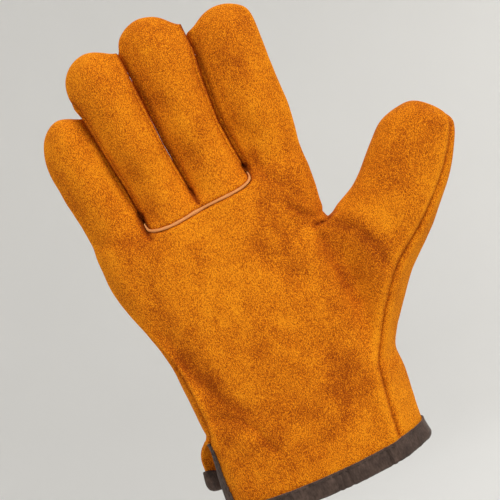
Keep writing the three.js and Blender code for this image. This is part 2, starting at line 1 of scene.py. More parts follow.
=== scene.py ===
"""A short suede work glove for the right hand, sewn from shaped panels, in the form that it has when worn.

Lengths are in metres. X points to the thumb side, -Y out of the palm and +Z to the fingertips.
"""

import math

import bmesh
import bpy
import numpy as np
from bpy.props import FloatProperty, FloatVectorProperty
from mathutils import Matrix, Vector, kdtree, noise


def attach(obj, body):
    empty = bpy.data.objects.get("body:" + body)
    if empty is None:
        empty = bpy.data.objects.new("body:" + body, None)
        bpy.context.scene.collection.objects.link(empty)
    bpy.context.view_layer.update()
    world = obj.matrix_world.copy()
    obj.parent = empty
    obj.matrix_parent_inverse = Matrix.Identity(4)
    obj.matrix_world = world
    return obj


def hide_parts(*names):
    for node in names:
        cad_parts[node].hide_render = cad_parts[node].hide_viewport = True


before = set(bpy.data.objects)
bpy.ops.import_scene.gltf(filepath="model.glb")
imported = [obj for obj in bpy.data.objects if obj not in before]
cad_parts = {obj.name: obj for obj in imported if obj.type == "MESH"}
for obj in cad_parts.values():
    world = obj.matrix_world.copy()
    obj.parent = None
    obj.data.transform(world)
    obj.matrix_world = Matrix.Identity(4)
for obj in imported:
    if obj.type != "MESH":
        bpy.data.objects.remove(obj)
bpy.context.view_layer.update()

bl_info = {
    "name": "Suede Work Glove",
    "version": (1, 0, 0),
    "blender": (4, 5, 0),
    "location": "View3D > Sidebar > Glove",
    "description": "Builds the leather panels, the tape, the welt and the studio of a suede work glove",
    "category": "Add Mesh",
}

MM = 0.001

# How round the sections are: 2 is an ellipse and more is squarer
PALM_SQUARENESS = 2.5
FINGER_SQUARENESS = 2.3

# Rows of the hand from the hem up: height, left and right side, how far in the little finger side's seam
# lies, where the thumb side's front corner lies, and the depth. Heights are shares of the glove's length,
# the rest of the palm's width and of the hand's depth.
HAND_ROWS = [
    (0.0, -0.435, 0.468, 0.01, 0.342, 1.0),
    (0.035, -0.44, 0.463, 0.01, 0.342, 1.0),
    (0.1, -0.44, 0.475, 0.02, 0.36, 0.99),
    (0.16, -0.44, 0.485, 0.034, 0.38, 0.98),
    (0.2, -0.44, 0.495, 0.05, 0.41, 0.98),
    (0.295, -0.446, 0.5, 0.048, 0.43, 0.98),
    (0.395, -0.47, 0.48, 0.018, 0.435, 0.97),
    (0.49, -0.52, 0.45, 0.0, 0.4, 0.94),
    (0.55, -0.535, 0.455, 0.0, 0.415, 0.89),
    (0.605, -0.535, 0.465, 0.0, 0.425, 0.82),
    (0.637, -0.535, 0.467, 0.0, 0.425, 0.76),
]
FINGER_ROW = len(HAND_ROWS) - 1
WELT_ROW = FINGER_ROW - 1
SLIT_ROWS = 3
THUMB_ROW = 4
THUMB_ROWS = 3

# Columns between the two sides: share of the way across, rise of the welt's row and dip at the finger row
COLUMNS = [
    (0.06, 0.0, 0.0),
    (0.15, -0.002, 0.0),
    (0.25, -0.006, 0.42),
    (0.37, -0.014, 0.0),
    (0.49, -0.003, 0.34),
    (0.615, -0.004, 0.0),
    (0.74, 0.003, 0.4),
    (0.86, 0.002, 0.0),
]
LAST_COLUMN = 0.955
RIGHT_SIDE = len(COLUMNS) + 2
WELT_COLUMNS = range(3, 7)
CROTCH_RISE = 0.014
PARTING = [1, 0.35, 0.05]

# Fingers: sections of height, left, right, lean to the palm and depth, then the tip's height, place and lean
FINGERS = {
    "little": (
        [(0.7, -0.538, -0.3, 0.05, 1.0), (0.745, -0.548, -0.312, 0.12, 1.0),
         (0.8, -0.55, -0.326, 0.2, 0.98), (0.85, -0.517, -0.345, 0.25, 0.8)],
        (0.878, -0.435, 0.27),
    ),
    "ring": (
        [(0.7, -0.288, -0.063, 0.15, 1.0), (0.75, -0.302, -0.073, 0.3, 1.02),
         (0.825, -0.315, -0.08, 0.42, 1.02), (0.892, -0.342, -0.09, 0.5, 1.0),
         (0.942, -0.317, -0.118, 0.54, 0.76)],
        (0.971, -0.22, 0.55),
    ),
    "middle": (
        [(0.7, -0.053, 0.186, 0.1, 1.0), (0.75, -0.065, 0.178, 0.2, 1.04), (0.835, -0.07, 0.186, 0.3, 1.04),
         (0.905, -0.077, 0.2, 0.36, 1.0), (0.963, -0.062, 0.155, 0.4, 0.75)],
        (0.994, 0.047, 0.4),
    ),
    "index": (
        [(0.7, 0.198, 0.472, 0.05, 1.0), (0.75, 0.187, 0.478, 0.1, 1.06), (0.825, 0.197, 0.48, 0.16, 1.06),
         (0.888, 0.217, 0.486, 0.2, 1.0), (0.932, 0.245, 0.474, 0.22, 0.76)],
        (0.96, 0.365, 0.24),
    ),
}

# Thumb: the low and the high end of each section, out and up, then its seam, lean and depth
THUMB = [
    (0.58, 0.258, 0.497, 0.498, 0.22, 0.1, 1.1),
    (0.693, 0.325, 0.58, 0.517, 0.18, 0.14, 1.07),
    (0.812, 0.373, 0.67, 0.552, 0.15, 0.18, 1.03),
    (0.925, 0.43, 0.757, 0.595, 0.11, 0.22, 0.98),
    (1.018, 0.488, 0.835, 0.621, 0.09, 0.25, 0.9),
    (1.074, 0.541, 0.918, 0.63, 0.08, 0.27, 0.68),
]
THUMB_TIP = (1.035, 0.598, 0.28, 0.038)

# The cuff, in shares of the glove's length, the palm's width and the hand's depth.
# How much higher and how far in the front corner at the slit is
CORNER_RISE, CORNER_IN = 0.02, 0.03
# The hem's rise in front, its sag there, its rise behind and above the slit, and the bend of its climb
FRONT_RISE, FRONT_SAG, BACK_RISE, SIDE_RISE, CLIMB = 0.004, 0.012, 0.078, 0.0468, 0.8
# Where the front and the back edge of the slit lie between palm and back
FRONT_LIES, BACK_LIES = -0.12, 0.1
# How far the slit's back edge stands out, and how much of that the first and each next column takes
FLARE, FLARE_AT, FLARE_LESS = 0.055, 0.8, 0.3
# How far the back's first column goes out, for how far in the seam lies
BACK_OUT = 0.6

# Where the seams of a finger's front and back run, as shares of its half width
FRONT_EDGE, BACK_EDGE = 0.9, 0.64

# How often the cage is corrected so that its smooth surface meets the places in the tables
CAGE_ROUNDS = 12

# The skins that the panels are cut from: how often the cage is divided, and how often the seams are eased
OUTER_LEVELS, OUTER_EASING = 4, 60
INNER_LEVELS, INNER_EASING = 3, 15

# Edges that bend more than this aren't shaded smooth
SHARP_ANGLE = math.radians(55)

PANELS = [
    "palm_panel", "back_panel", "two_finger_panel",
    "fourchette_little_ring", "fourchette_ring_middle", "fourchette_middle_index",
]
PALM, BACK, TWO_FINGER, FOURCHETTES = 0, 1, 2, (3, 4, 5)

FRONTS = {"little": PALM, "ring": TWO_FINGER, "middle": TWO_FINGER, "index": PALM}

# Marks of the faces that the tape covers: round the hem, and beside the slit
AT_HEM, AT_SLIT = 1, 2

# Folds: side (-1 the palm), how wide and how deep in millimetres (less than 0 is a ridge), how crisp, and
# the points that the fold runs through, as shares of the palm's width and of the glove's length
FOLDS = [
    (-1, 0.8, 2.0, 1.6, [(-0.036, 0.612), (-0.044, 0.645)]),
    (-1, 1.4, 2.0, 1.8, [(-0.281, 0.588), (-0.285, 0.64)]),
    (-1, 1.4, 1.2, 1.8, [(0.216, 0.62), (0.208, 0.645)]),
    (-1, 1.2, 2.4, 1.4, [(0.471, 0.492), (0.44, 0.486), (0.378, 0.477)]),
    (-1, 2.2, -0.9, 2.0, [(0.46, 0.482), (0.4, 0.468)]),
    (-1, 1.3, 1.1, 1.4, [(0.445, 0.5), (0.395, 0.497), (0.353, 0.508), (0.308, 0.535)]),
    (-1, 2.4, -0.6, 2.0, [(0.385, 0.512), (0.345, 0.53)]),
    (-1, 1.8, 0.7, 1.4, [(0.4, 0.485), (0.32, 0.49), (0.27, 0.475)]),
    (-1, 2.8, 0.7, 1.5, [(0.3, 0.5), (0.25, 0.49), (0.215, 0.455)]),
    (-1, 3.4, 1.3, 1.6, [(0.43, 0.476), (0.48, 0.462), (0.53, 0.436), (0.565, 0.4), (0.578, 0.355)]),
    (-1, 2.8, 1.5, 1.6, [(0.385, 0.45), (0.392, 0.43), (0.4, 0.36), (0.41, 0.31)]),
    (-1, 4.0, -0.5, 2.0, [(0.47, 0.42), (0.475, 0.36)]),
    (-1, 5.0, 0.8, 2.0, [(0.121, 0.492), (0.143, 0.45), (0.19, 0.42), (0.232, 0.396)]),
    (-1, 4.2, 1.3, 1.6, [(-0.379, 0.336), (-0.33, 0.279), (-0.267, 0.23), (-0.207, 0.2)]),
    (-1, 1.8, 1.2, 1.3,
     [(-0.368, 0.213), (-0.294, 0.202), (-0.242, 0.187), (-0.202, 0.165), (-0.155, 0.105)]),
    (-1, 4.0, -0.8, 2.0, [(-0.3, 0.17), (-0.25, 0.14)]),
    (-1, 4.5, 0.8, 1.8, [(0.03, 0.077), (0.129, 0.103), (0.194, 0.131), (0.25, 0.19)]),
    (-1, 6.0, 0.8, 2.0, [(-0.383, 0.511), (-0.372, 0.454), (-0.41, 0.407), (-0.388, 0.362), (-0.3, 0.29)]),
    (-1, 3.6, 0.8, 1.6, [(-0.5, 0.616), (-0.401, 0.602), (-0.299, 0.6)]),
    (-1, 3.0, 1.0, 1.5, [(0.241, 0.655), (0.263, 0.617), (0.311, 0.583)]),
    (-1, 4.5, 0.6, 1.8, [(0.21, 0.735), (0.291, 0.687)]),
    (-1, 4.0, 1.0, 1.7, [(-0.075, 0.852), (-0.011, 0.815)]),
    (-1, 4.0, 0.8, 1.7, [(-0.05, 0.728), (0.021, 0.695)]),
    (-1, 4.0, 0.8, 1.7, [(-0.3, 0.731), (-0.202, 0.697)]),
    (-1, 7.0, -0.8, 2.0, [(0.0, 0.35), (0.05, 0.25)]),
    (-1, 7.0, 0.8, 2.0, [(0.22, 0.25), (0.2, 0.17)]),
    (1, 4.0, 0.8, 1.8, [(-0.5, 0.75), (-0.36, 0.755)]),
    (1, 4.0, 0.9, 1.8, [(-0.29, 0.82), (-0.11, 0.82)]),
    (1, 4.0, 0.9, 1.8, [(-0.04, 0.83), (0.17, 0.83)]),
    (1, 4.0, 0.9, 1.8, [(0.22, 0.81), (0.46, 0.815)]),
    (1, 6.0, 0.8, 2.0, [(-0.35, 0.62), (-0.32, 0.5), (-0.25, 0.4)]),
    (1, 6.0, 0.7, 2.0, [(0.2, 0.62), (0.18, 0.5), (0.12, 0.4)]),
    (1, 4.0, 1.1, 1.6, [(0.3, 0.47), (0.42, 0.42), (0.5, 0.34)]),
    (1, 4.0, 0.9, 1.7, [(-0.3, 0.17), (-0.05, 0.14), (0.3, 0.19)]),
    (1, 3.0, 0.8, 1.6, [(0.7, 0.38), (0.62, 0.5)]),
]

# Creases between the fingers, where their fronts meet and hide the fourchettes
CREASES = [
    [(-0.283, 0.6), (-0.285, 0.64), (-0.294, 0.7), (-0.307, 0.748), (-0.321, 0.81), (-0.335, 0.86)],
    [(-0.037, 0.612), (-0.044, 0.64), (-0.058, 0.7), (-0.0685, 0.75), (-0.075, 0.83), (-0.083, 0.9),
     (-0.09, 0.945)],
    [(0.212, 0.625), (0.2065, 0.64), (0.192, 0.7), (0.1825, 0.75), (0.1915, 0.83), (0.208, 0.897),
     (0.2, 0.95)],
]

# The sharp end of the fold at the root of the thumb, along which a dark line of painted shade is drawn
DART = [(0.471, 0.492), (0.45, 0.487), (0.41, 0.482), (0.378, 0.477)]

# Patches of the palm side, partly the suede's own uneven tone and partly painted shade and painted
# highlights: place as shares, how wide in millimetres, and how dark (less than 0 is bright)
PATCHES = [
    (-0.05, 0.834, 9, 1.0), (-0.03, 0.77, 6, 0.5), (-0.017, 0.709, 7, 0.8), (-0.235, 0.633, 6, 0.4),
    (0.295, 0.81, 10, 0.35), (0.254, 0.717, 12, 0.5), (0.229, 0.651, 6, 1.0), (0.283, 0.589, 8, 0.8),
    (0.38, 0.6, 9, 0.6), (-0.266, 0.744, 7, 0.7), (-0.223, 0.711, 6, 0.6), (-0.42, 0.661, 8, 0.5),
    (-0.326, 0.586, 6, 0.4), (-0.343, 0.514, 10, 0.5), (-0.362, 0.454, 7, 0.6), (-0.434, 0.407, 6, 0.6),
    (-0.373, 0.352, 8, 0.7), (-0.315, 0.28, 8, 0.5), (-0.259, 0.239, 9, 0.6), (0.341, 0.506, 5, 0.5),
    (0.27, 0.475, 6, 0.6), (0.134, 0.476, 8, 0.5), (0.216, 0.408, 9, 0.6), (0.518, 0.449, 7, 0.8),
    (0.566, 0.386, 6, 0.8), (0.394, 0.357, 6, 0.5), (0.389, 0.312, 7, 0.6), (-0.35, 0.327, 7, 0.4),
    (-0.363, 0.164, 7, 0.5), (-0.196, 0.171, 5, 0.5), (-0.167, 0.123, 7, 0.5), (0.137, 0.13, 8, 0.5),
    (0.217, 0.175, 8, 0.5), (-0.053, 0.283, 11, 0.4), (0.15, 0.22, 12, 0.35), (0.45, 0.6, 7, 0.6),
    (-0.36, 0.3, 16, 0.5), (-0.3, 0.13, 15, 0.5), (0.1, 0.07, 22, 0.35), (0.3, 0.3, 16, 0.4),
    (-0.1, 0.2, 16, 0.3), (0.62, 0.52, 9, 0.5), (0.74, 0.52, 10, 0.4), (-0.5, 0.72, 8, 0.4),
    (-0.052, 0.389, 14, -0.8), (0.026, 0.506, 12, -0.7), (-0.333, 0.634, 6, -0.7), (0.33, 0.465, 6, -0.7),
    (0.43, 0.2, 9, -0.9), (0.387, 0.11, 9, -0.9), (-0.353, 0.284, 4, -0.5), (-0.056, 0.126, 8, -0.4),
    (0.08, 0.304, 8, -0.5), (0.023, 0.921, 9, -0.4), (0.239, 0.875, 8, -0.3), (0.02, 0.78, 7, -0.4),
    (0.58, 0.45, 4, -0.4), (-0.17, 0.66, 6, -0.3), (0.08, 0.66, 8, -0.3), (0.47, 0.4, 5, -0.5),
    (-0.2, 0.45, 16, -0.3), (-0.42, 0.25, 5, -0.4), (0.288, 0.555, 9, 1.4), (0.397, 0.421, 7, 1.3),
    (-0.348, 0.378, 12, 1.8), (-0.292, 0.189, 10, 1.3), (-0.327, 0.551, 7, 0.6), (0.36, 0.66, 8, 0.4),
    (0.483, 0.456, 6, 0.7), (0.534, 0.421, 6, 0.7), (0.56, 0.37, 5, 0.6), (0.55, 0.35, 6, 0.5),
    (0.68, 0.484, 6, 0.4), (0.4, 0.35, 5, 0.5), (0.84, 0.565, 9, 0.4), (0.64, 0.42, 6, -0.7),
    (0.87, 0.43, 6, -0.7),
]

# How strongly the folds darken the leather with painted shade, and how strongly the patches change its tone,
# partly the suede's own tone and partly painted shade and highlights
FOLD_PAINTED_SHADE, PATCH_TONE_AND_PAINTED_LIGHT = 0.45, 0.4

# Gathers in the front of the tape: how far along in millimetres, and how deep
PINCHES = [(2.4, 0.8), (5.4, 0.5), (9.2, 0.7), (30.0, 0.9), (33.2, 0.5), (-21.0, 0.5), (44.0, 0.4)]

# Stitches of the tape: one to the next, half the length and thickness of one, and how far in from the edge
STITCH_PITCH, HALF_STITCH, HALF_THREAD, STITCH_INSET = 3.1 * MM, 1.1 * MM, 0.32 * MM, 1.3 * MM

# The camera: how far it stands from the glove, the width that it sees there, its film's width in millimetres,
# its place beside and above the origin, and its lean
CAMERA_DISTANCE, VIEW_WIDTH, FILM_WIDTH = 0.5, 0.245, 36
CAMERA_X, CAMERA_Z = 0.0095, 0.1178
CAMERA_LEAN = math.radians(24)

# Lights: name, place, what they point at, size, power and colour
GLOVE_MIDDLE = (0.01, 0.0, 0.12)
LIGHTS = [
    ("key_light", (0.75, -0.95, 1.2), GLOVE_MIDDLE, 0.6, 15.0, (1.0, 0.98, 0.95)),
    ("fill_light", (-1.1, -1.2, 0.3), GLOVE_MIDDLE, 1.2, 1.5, (0.97, 0.98, 1.0)),
    ("back_light", (0.3, 1.2, 1.0), GLOVE_MIDDLE, 1.0, 5.0, (1.0, 1.0, 1.0)),
    ("wall_light", (1.3, 1.0, 0.1), (1.0, 2.6, -0.5), 0.8, 7.0, (1.0, 0.99, 0.97)),
]
SKY_COLOUR, SKY_STRENGTH = (1.0, 0.99, 0.97, 1), 0.66

# The studio's floor and wall: the floor's height, how far off the wall is, its bend and its top
FLOOR, WALL_AWAY, WALL_BEND, WALL_TOP = -0.4, 2.6, 0.9, 2.4


class GloveSizes(bpy.types.PropertyGroup):
    """Sizes of the glove and of what it is sewn from."""

    glove_length: FloatProperty(
        name="Glove Length", description="From the hem to the middle fingertip", default=0.242, unit="LENGTH")
    palm_width: FloatProperty(
        name="Palm Width", description="Across the palm", default=0.114, unit="LENGTH")
    hand_depth: FloatProperty(
        name="Hand Depth", description="From the palm to the back of the hand", default=0.038, unit="LENGTH")
    finger_depth: FloatProperty(
        name="Finger Depth", description="From the front to the back of a finger",
        default=0.025, unit="LENGTH")
    thumb_depth: FloatProperty(
        name="Thumb Depth", description="From the front to the back of the thumb",
        default=0.029, unit="LENGTH")
    leather: FloatProperty(
        name="Leather", description="Thickness of the leather", default=0.0014, unit="LENGTH")
    seam_depth: FloatProperty(
        name="Seam Depth", description="How deep a seam lies in its valley", default=0.0014, unit="LENGTH")
    seam_reach: FloatProperty(
        name="Seam Reach", description="How far from a seam its valley begins", default=0.0032, unit="LENGTH")
    seam_gap: FloatProperty(
        name="Seam Gap", description="Clearance between two panels at their seam",
        default=0.0003, unit="LENGTH")
    tape_thickness: FloatProperty(
        name="Tape Thickness", description="Thickness of the cuff's tape", default=0.0008, unit="LENGTH")
    tape_width: FloatProperty(
        name="Tape Width", description="Visible width of the cuff's tape", default=0.0076, unit="LENGTH")
    tape_gap: FloatProperty(
        name="Tape Gap", description="Clearance between the tape and the leather",
        default=0.0003, unit="LENGTH")
    welt_size: FloatProperty(
        name="Welt Size", description="Thickness of the welt's bead", default=0.0014, unit="LENGTH")


class GloveColours(bpy.types.PropertyGroup):
    """Colours of the glove's finishes."""

    suede: FloatVectorProperty(
        name="Suede", description="Main colour of the suede", subtype="COLOR", default=(0.75, 0.192, 0.005))
    bright: FloatVectorProperty(
        name="Bright Nap", description="Where the nap catches the light", subtype="COLOR",
        default=(0.95, 0.335, 0.011))
    # The dark end of the suede's tone, which also carries the painted shade of the seams, creases and folds
    dark: FloatVectorProperty(
        name="Dark Nap", description="Where the nap lies away or is worn", subtype="COLOR",
        default=(0.37, 0.066, 0.004))
    tape: FloatVectorProperty(
        name="Tape", description="Colour of the cuff's tape", subtype="COLOR", default=(0.072, 0.046, 0.036))
    welt: FloatVectorProperty(
        name="Welt", description="Colour of the welt", subtype="COLOR", default=(0.76, 0.32, 0.1))
    studio: FloatVectorProperty(
        name="Studio", description="Colour of the floor", subtype="COLOR", default=(0.8, 0.795, 0.78))


class Lengths:
    """The glove's sizes, with shares of its width and its length turned into lengths."""

    def __init__(self, sizes):
        self.sizes = sizes

    def wide(self, share):
        return share * self.sizes.palm_width

    def high(self, share):
        return share * self.sizes.glove_length

    def path(self, shares):
        """Points of the plane of the palm, from shares of the width and the length."""
        return [np.array((self.wide(x), self.high(z))) for x, z in shares]


def between(a, b, share):
    return a + (b - a) * share


def hump(away, reach):
    """1 on a line or a spot, and less the further away."""
    return np.exp(-(away / reach) ** 2)


def smoothed(path, steps):
    """A path whose points are drawn toward their neighbours. Its ends stay."""
    for _ in range(steps):
        path[1:-1] = 0.5 * path[1:-1] + 0.25 * (path[:-2] + path[2:])
    return path


def travelled(path):
    """How far along a path each of its points is."""
    return np.append(0, np.cumsum(np.linalg.norm(np.diff(path, axis=0), axis=1)))


def finished_mesh(bm, name):
    """The mesh of an edit mesh, which is freed."""
    mesh = bpy.data.meshes.new(name)
    bm.to_mesh(mesh)
    bm.free()
    return mesh


def take_in(bm, other):
    """Adds one edit mesh to another and frees it."""
    mesh = finished_mesh(other, "taken_in")
    bm.from_mesh(mesh)
    bpy.data.meshes.remove(mesh)


def baked_mesh(holder):
    """The mesh of an object as its modifiers or its bevel shape it. The object is removed."""
    bpy.context.scene.collection.objects.link(holder)
    ready = holder.evaluated_get(bpy.context.evaluated_depsgraph_get())
    mesh = bpy.data.meshes.new_from_object(ready)
    bpy.data.objects.remove(holder)
    return mesh


def fullness(u, squareness):
    """Half the thickness at a share u of the half width of a rounded section."""
    return max(0.0, 1.0 - abs(u) ** squareness) ** (1.0 / squareness)


def row_height(lengths, row, hem):
    """Height of a row above a hem. The cuff's rows fan out up to the row where the thumb begins."""
    if row >= THUMB_ROW:
        return lengths.high(HAND_ROWS[row][0])
    if row == 0:
        return hem
    first = HAND_ROWS[1][0]
    top = HAND_ROWS[THUMB_ROW][0]
    share = (HAND_ROWS[row][0] - first) / (top - first)
    return between(hem + lengths.sizes.tape_width, lengths.high(top), share)


def hand_row(lengths, row):
    """Places of one row: left side, nine in front, right side, nine behind and the left side again."""
    _, left, right, seam, corner, deep = HAND_ROWS[row]
    sizes, wide, high = lengths.sizes, lengths.wide, lengths.high
    parting = PARTING[FINGER_ROW - row] if FINGER_ROW - row < len(PARTING) else 0
    columns = [across for across, _, _ in COLUMNS]
    dips = [dip * parting for _, _, dip in COLUMNS] + [0]
    rises = [high(rise) if row == WELT_ROW else 0 for _, rise, _ in COLUMNS] + [0]
    front = [wide(between(left + seam, right, across)) for across in columns]
    squeeze = (wide(corner) - front[0]) / (wide(between(left, right, LAST_COLUMN)) - front[0])
    front = [front[0] + (x - front[0]) * squeeze for x in front] + [wide(corner)]
    back = [wide(between(left, right, across)) for across in columns + [LAST_COLUMN]]
    back[0] -= wide(seam) * BACK_OUT
    opening = max(0.0, 1 - row / SLIT_ROWS)

    def front_hem(x):
        return high(FRONT_RISE - FRONT_SAG * (1 - (2 * x / sizes.palm_width) ** 2))

    def back_hem(x):
        return high(between(BACK_RISE, FRONT_RISE, max(0.0, x / sizes.palm_width + 0.5) ** CLIMB))

    def place(x, side, hem, rise, dip):
        share = (x - wide((left + right) / 2)) / wide((right - left) / 2)
        y = 0.5 * sizes.hand_depth * deep * fullness(share, PALM_SQUARENESS) * (1 - dip)
        return Vector((x, side * y, row_height(lengths, row, hem) + rise))

    if row < SLIT_ROWS:
        rise = high(CORNER_RISE) if row == 0 else 0
        edge = wide(left + seam + (CORNER_IN if row == 0 else 0))
        height = row_height(lengths, row, high(FRONT_RISE)) + rise
        start = Vector((edge, FRONT_LIES * sizes.hand_depth, height))
        flap = wide(left - FLARE * math.sqrt(opening))
        end = Vector((flap, BACK_LIES * sizes.hand_depth, row_height(lengths, row, high(BACK_RISE))))
    else:
        start = place(wide(left + seam), -1, high(SIDE_RISE), 0, 0)
        end = start.copy()
    places = [start]
    places += [place(x, -1, front_hem(x), rises[i], dips[i]) for i, x in enumerate(front)]
    places.append(Vector((wide(right), 0, row_height(lengths, row, front_hem(wide(right))))))
    for i in reversed(range(len(back))):
        point = place(back[i], 1, back_hem(back[i]), 0, dips[i])
        point.x -= wide(FLARE) * opening * max(0.0, FLARE_AT - FLARE_LESS * i)
        places.append(point)
    return places + [end]


def next_ring(bm, ring, places):
    """Extrudes a ring or a chain of vertices and moves the new one to its places."""
    edges = [bm.edges.get(pair) for pair in zip(ring, ring[1:])]
    made = bmesh.ops.extrude_edge_only(bm, edges=edges)["geom"]
    new = {v for v in made if isinstance(v, bmesh.types.BMVert)}
    grown = []
    for vertex, place in zip(ring, places):
        above = next(e.other_vert(vertex) for e in vertex.link_edges if e.other_vert(vertex) in new)
        above.co = place
        grown.append(above)
    return grown


def face_of(bm, *corners):
    """The face that holds all of these vertices."""
    shared = set(corners[0].link_faces)
    for corner in corners[1:]:
        shared &= set(corner.link_faces)
    return next(iter(shared))


def lay_hand(bm, lengths, layers):
    """The tube of the hand, open at the hem and slit on the little finger side."""
    panel, tape, row_layer = layers
    chain = [bm.verts.new(place) for place in hand_row(lengths, 0)]
    for pair in zip(chain, chain[1:]):
        bm.edges.new(pair)
    rows = [chain]
    for row in range(1, len(HAND_ROWS)):
        below = rows[-1]
        chain = next_ring(bm, below, hand_row(lengths, row))
        for column in range(len(chain) - 1):
            face = face_of(bm, below[column], below[column + 1], chain[column], chain[column + 1])
            in_welt = row - 1 == WELT_ROW and column in WELT_COLUMNS
            behind = column >= RIGHT_SIDE or (column == RIGHT_SIDE - 1 and row - 1 < THUMB_ROW)
            face[panel] = TWO_FINGER if in_welt else BACK if behind else PALM
            by_slit = column in (0, len(chain) - 2)
            face[tape] = AT_HEM if row == 1 else AT_SLIT if by_slit and row <= SLIT_ROWS else 0
        if row == SLIT_ROWS:
            bmesh.ops.weld_verts(bm, targetmap={chain[-1]: chain[0]})
            chain[-1] = chain[0]
        for vertex in chain:
            vertex[row_layer] = row
        rows.append(chain)
    return rows


def lay_finger(bm, lengths, layers, index, name, top, crotches):
    """A finger: rings of eight from the finger row to the tip, which four faces close."""
    sections, (tip_up, tip_across, tip_lean) = FINGERS[name]
    depth = lengths.sizes.finger_depth
    front, back = 1 + 2 * index, len(top) - 2 - 2 * index
    ring = [top[front], top[front + 1], top[front + 2], crotches[index + 1],
            top[back - 2], top[back - 1], top[back], crotches[index]]
    f, b = FRONT_EDGE, BACK_EDGE
    turns = [(-f, -1), (0, -1), (f, -1), (1, 0), (b, 1), (0, 1), (-b, 1), (-1, 0)]
    for level, (up, left, right, lean, deep) in enumerate(sections):
        places = []
        for u, side in turns:
            x = lengths.wide((left + right) / 2 + u * (right - left) / 2)
            y = side * 0.5 * depth * deep * fullness(u, FINGER_SQUARENESS) - lean * depth
            places.append(Vector((x, y, lengths.high(up))))
        last = level == len(sections) - 1
        inner = FOURCHETTES[index - 1] if index > 0 and not last else None
        outer = FOURCHETTES[index] if index < 3 and not last else None
        own = FRONTS[name]
        panels = [own, own, own if outer is None else outer, BACK if outer is None else outer,
                  BACK, BACK, BACK if inner is None else inner, own if inner is None else inner]
        grown = next_ring(bm, ring + ring[:1], places + places[:1])[:-1]
        for i, number in enumerate(panels):
            j = (i + 1) % len(ring)
            face_of(bm, ring[i], ring[j], grown[i], grown[j])[layers[0]] = number
        ring = grown
    end = bm.verts.new((lengths.wide(tip_across), -tip_lean * depth, lengths.high(tip_up)))
    for i in range(0, len(ring), 2):
        face = bm.faces.new((ring[i - 1], ring[i], ring[i + 1], end))
        face[layers[0]] = FRONTS[name] if i in (0, 2) else BACK


def lay_thumb(bm, lengths, layers, rows):
    """The thumb: rings of ten from the hole in the hand's side, closed by a cap with two points inside."""
    hole = rows[THUMB_ROW:THUMB_ROW + THUMB_ROWS + 1]
    ring = [hole[-1][RIGHT_SIDE]] + [row[RIGHT_SIDE - 1] for row in reversed(hole)]
    ring += [hole[0][RIGHT_SIDE]] + [row[RIGHT_SIDE + 1] for row in hole]
    count, seam, top_seam = len(ring), 4, 9
    depth = lengths.sizes.thumb_depth
    for low_out, low_up, high_out, high_up, seam_share, lean, deep in THUMB:
        seam_turn = math.pi / 2 - math.asin(2 * seam_share - 1)
        places = []
        for i in range(count):
            turn = seam_turn * i / seam if i <= seam else 2 * math.pi * i / count
            share = (1 + math.cos(turn)) / 2
            y = -0.5 * depth * deep * math.sin(turn) - lean * depth
            out, up = between(low_out, high_out, share), between(low_up, high_up, share)
            places.append(Vector((lengths.wide(out), y, lengths.high(up))))
        grown = next_ring(bm, ring + ring[:1], places + places[:1])[:-1]
        for i in range(count):
            j = (i + 1) % count
            face = face_of(bm, ring[i], ring[j], grown[i], grown[j])
            face[layers[0]] = PALM if i < seam or i >= top_seam else BACK
        ring = grown
    out, up, lean, half = THUMB_TIP
    low = bm.verts.new((lengths.wide(out + half), -lean * depth, lengths.high(up - half / 2)))
    top = bm.verts.new((lengths.wide(out - half), -lean * depth, lengths.high(up + half / 2)))
    # Faces of the cap: a number is a corner of the last ring. Three of them are on the palm side.
    caps = [(9, 0, 1, top), (1, 2, low, top), (2, 3, 4, low),
            (4, 5, 6, low), (6, 7, top, low), (7, 8, 9, top)]
    for number, cap in enumerate(caps):
        corners = [ring[c] if isinstance(c, int) else c for c in cap]
        bm.faces.new(corners)[layers[0]] = PALM if number < 3 else BACK


def limit_place(vertex):
    """Where a vertex of the cage ends up on the smooth surface."""
    rim = [e.other_vert(vertex).co for e in vertex.link_edges if e.is_boundary]
    if rim:
        return (vertex.co * 4 + rim[0] + rim[1]) / 6
    n = len(vertex.link_edges)
    total = vertex.co * n * n
    for edge in vertex.link_edges:
        total += edge.other_vert(vertex).co * 4
    for loop in vertex.link_loops:
        total += loop.link_loop_next.link_loop_next.vert.co
    return total / (n * (n + 5))


def glove_cage(lengths):
    """The coarse cage whose smooth surface runs through the places in the tables."""
    bm = bmesh.new()
    layers = (bm.faces.layers.int.new("panel"), bm.faces.layers.int.new("tape"),
              bm.verts.layers.float.new("row"))
    rows = lay_hand(bm, lengths, layers)
    top = rows[FINGER_ROW]
    up, left, right = HAND_ROWS[FINGER_ROW][:3]
    crotches = [top[0]]
    for i in (2, 4, 6):
        place = (lengths.wide(between(left, right, COLUMNS[i][0])), 0, lengths.high(up + CROTCH_RISE))
        crotches.append(bm.verts.new(place))
        bm.edges.new((top[i + 1], crotches[-1]))
        bm.edges.new((crotches[-1], top[len(top) - 2 - i]))
    crotches.append(top[RIGHT_SIDE])
    hole = [face_of(bm, rows[row][column], rows[row][column + 1], rows[row + 1][column])
            for row in range(THUMB_ROW, THUMB_ROW + THUMB_ROWS) for column in (RIGHT_SIDE - 1, RIGHT_SIDE)]
    bmesh.ops.delete(bm, geom=hole, context="FACES")
    for index, name in enumerate(FINGERS):
        lay_finger(bm, lengths, layers, index, name, top, crotches)
    lay_thumb(bm, lengths, layers, rows)
    bmesh.ops.recalc_face_normals(bm, faces=bm.faces)
    targets = {vertex: vertex.co.copy() for vertex in bm.verts}
    for _ in range(CAGE_ROUNDS):
        reached = {vertex: limit_place(vertex) for vertex in bm.verts}
        for vertex in bm.verts:
            vertex.co += targets[vertex] - reached[vertex]
    return finished_mesh(bm, "glove_cage")


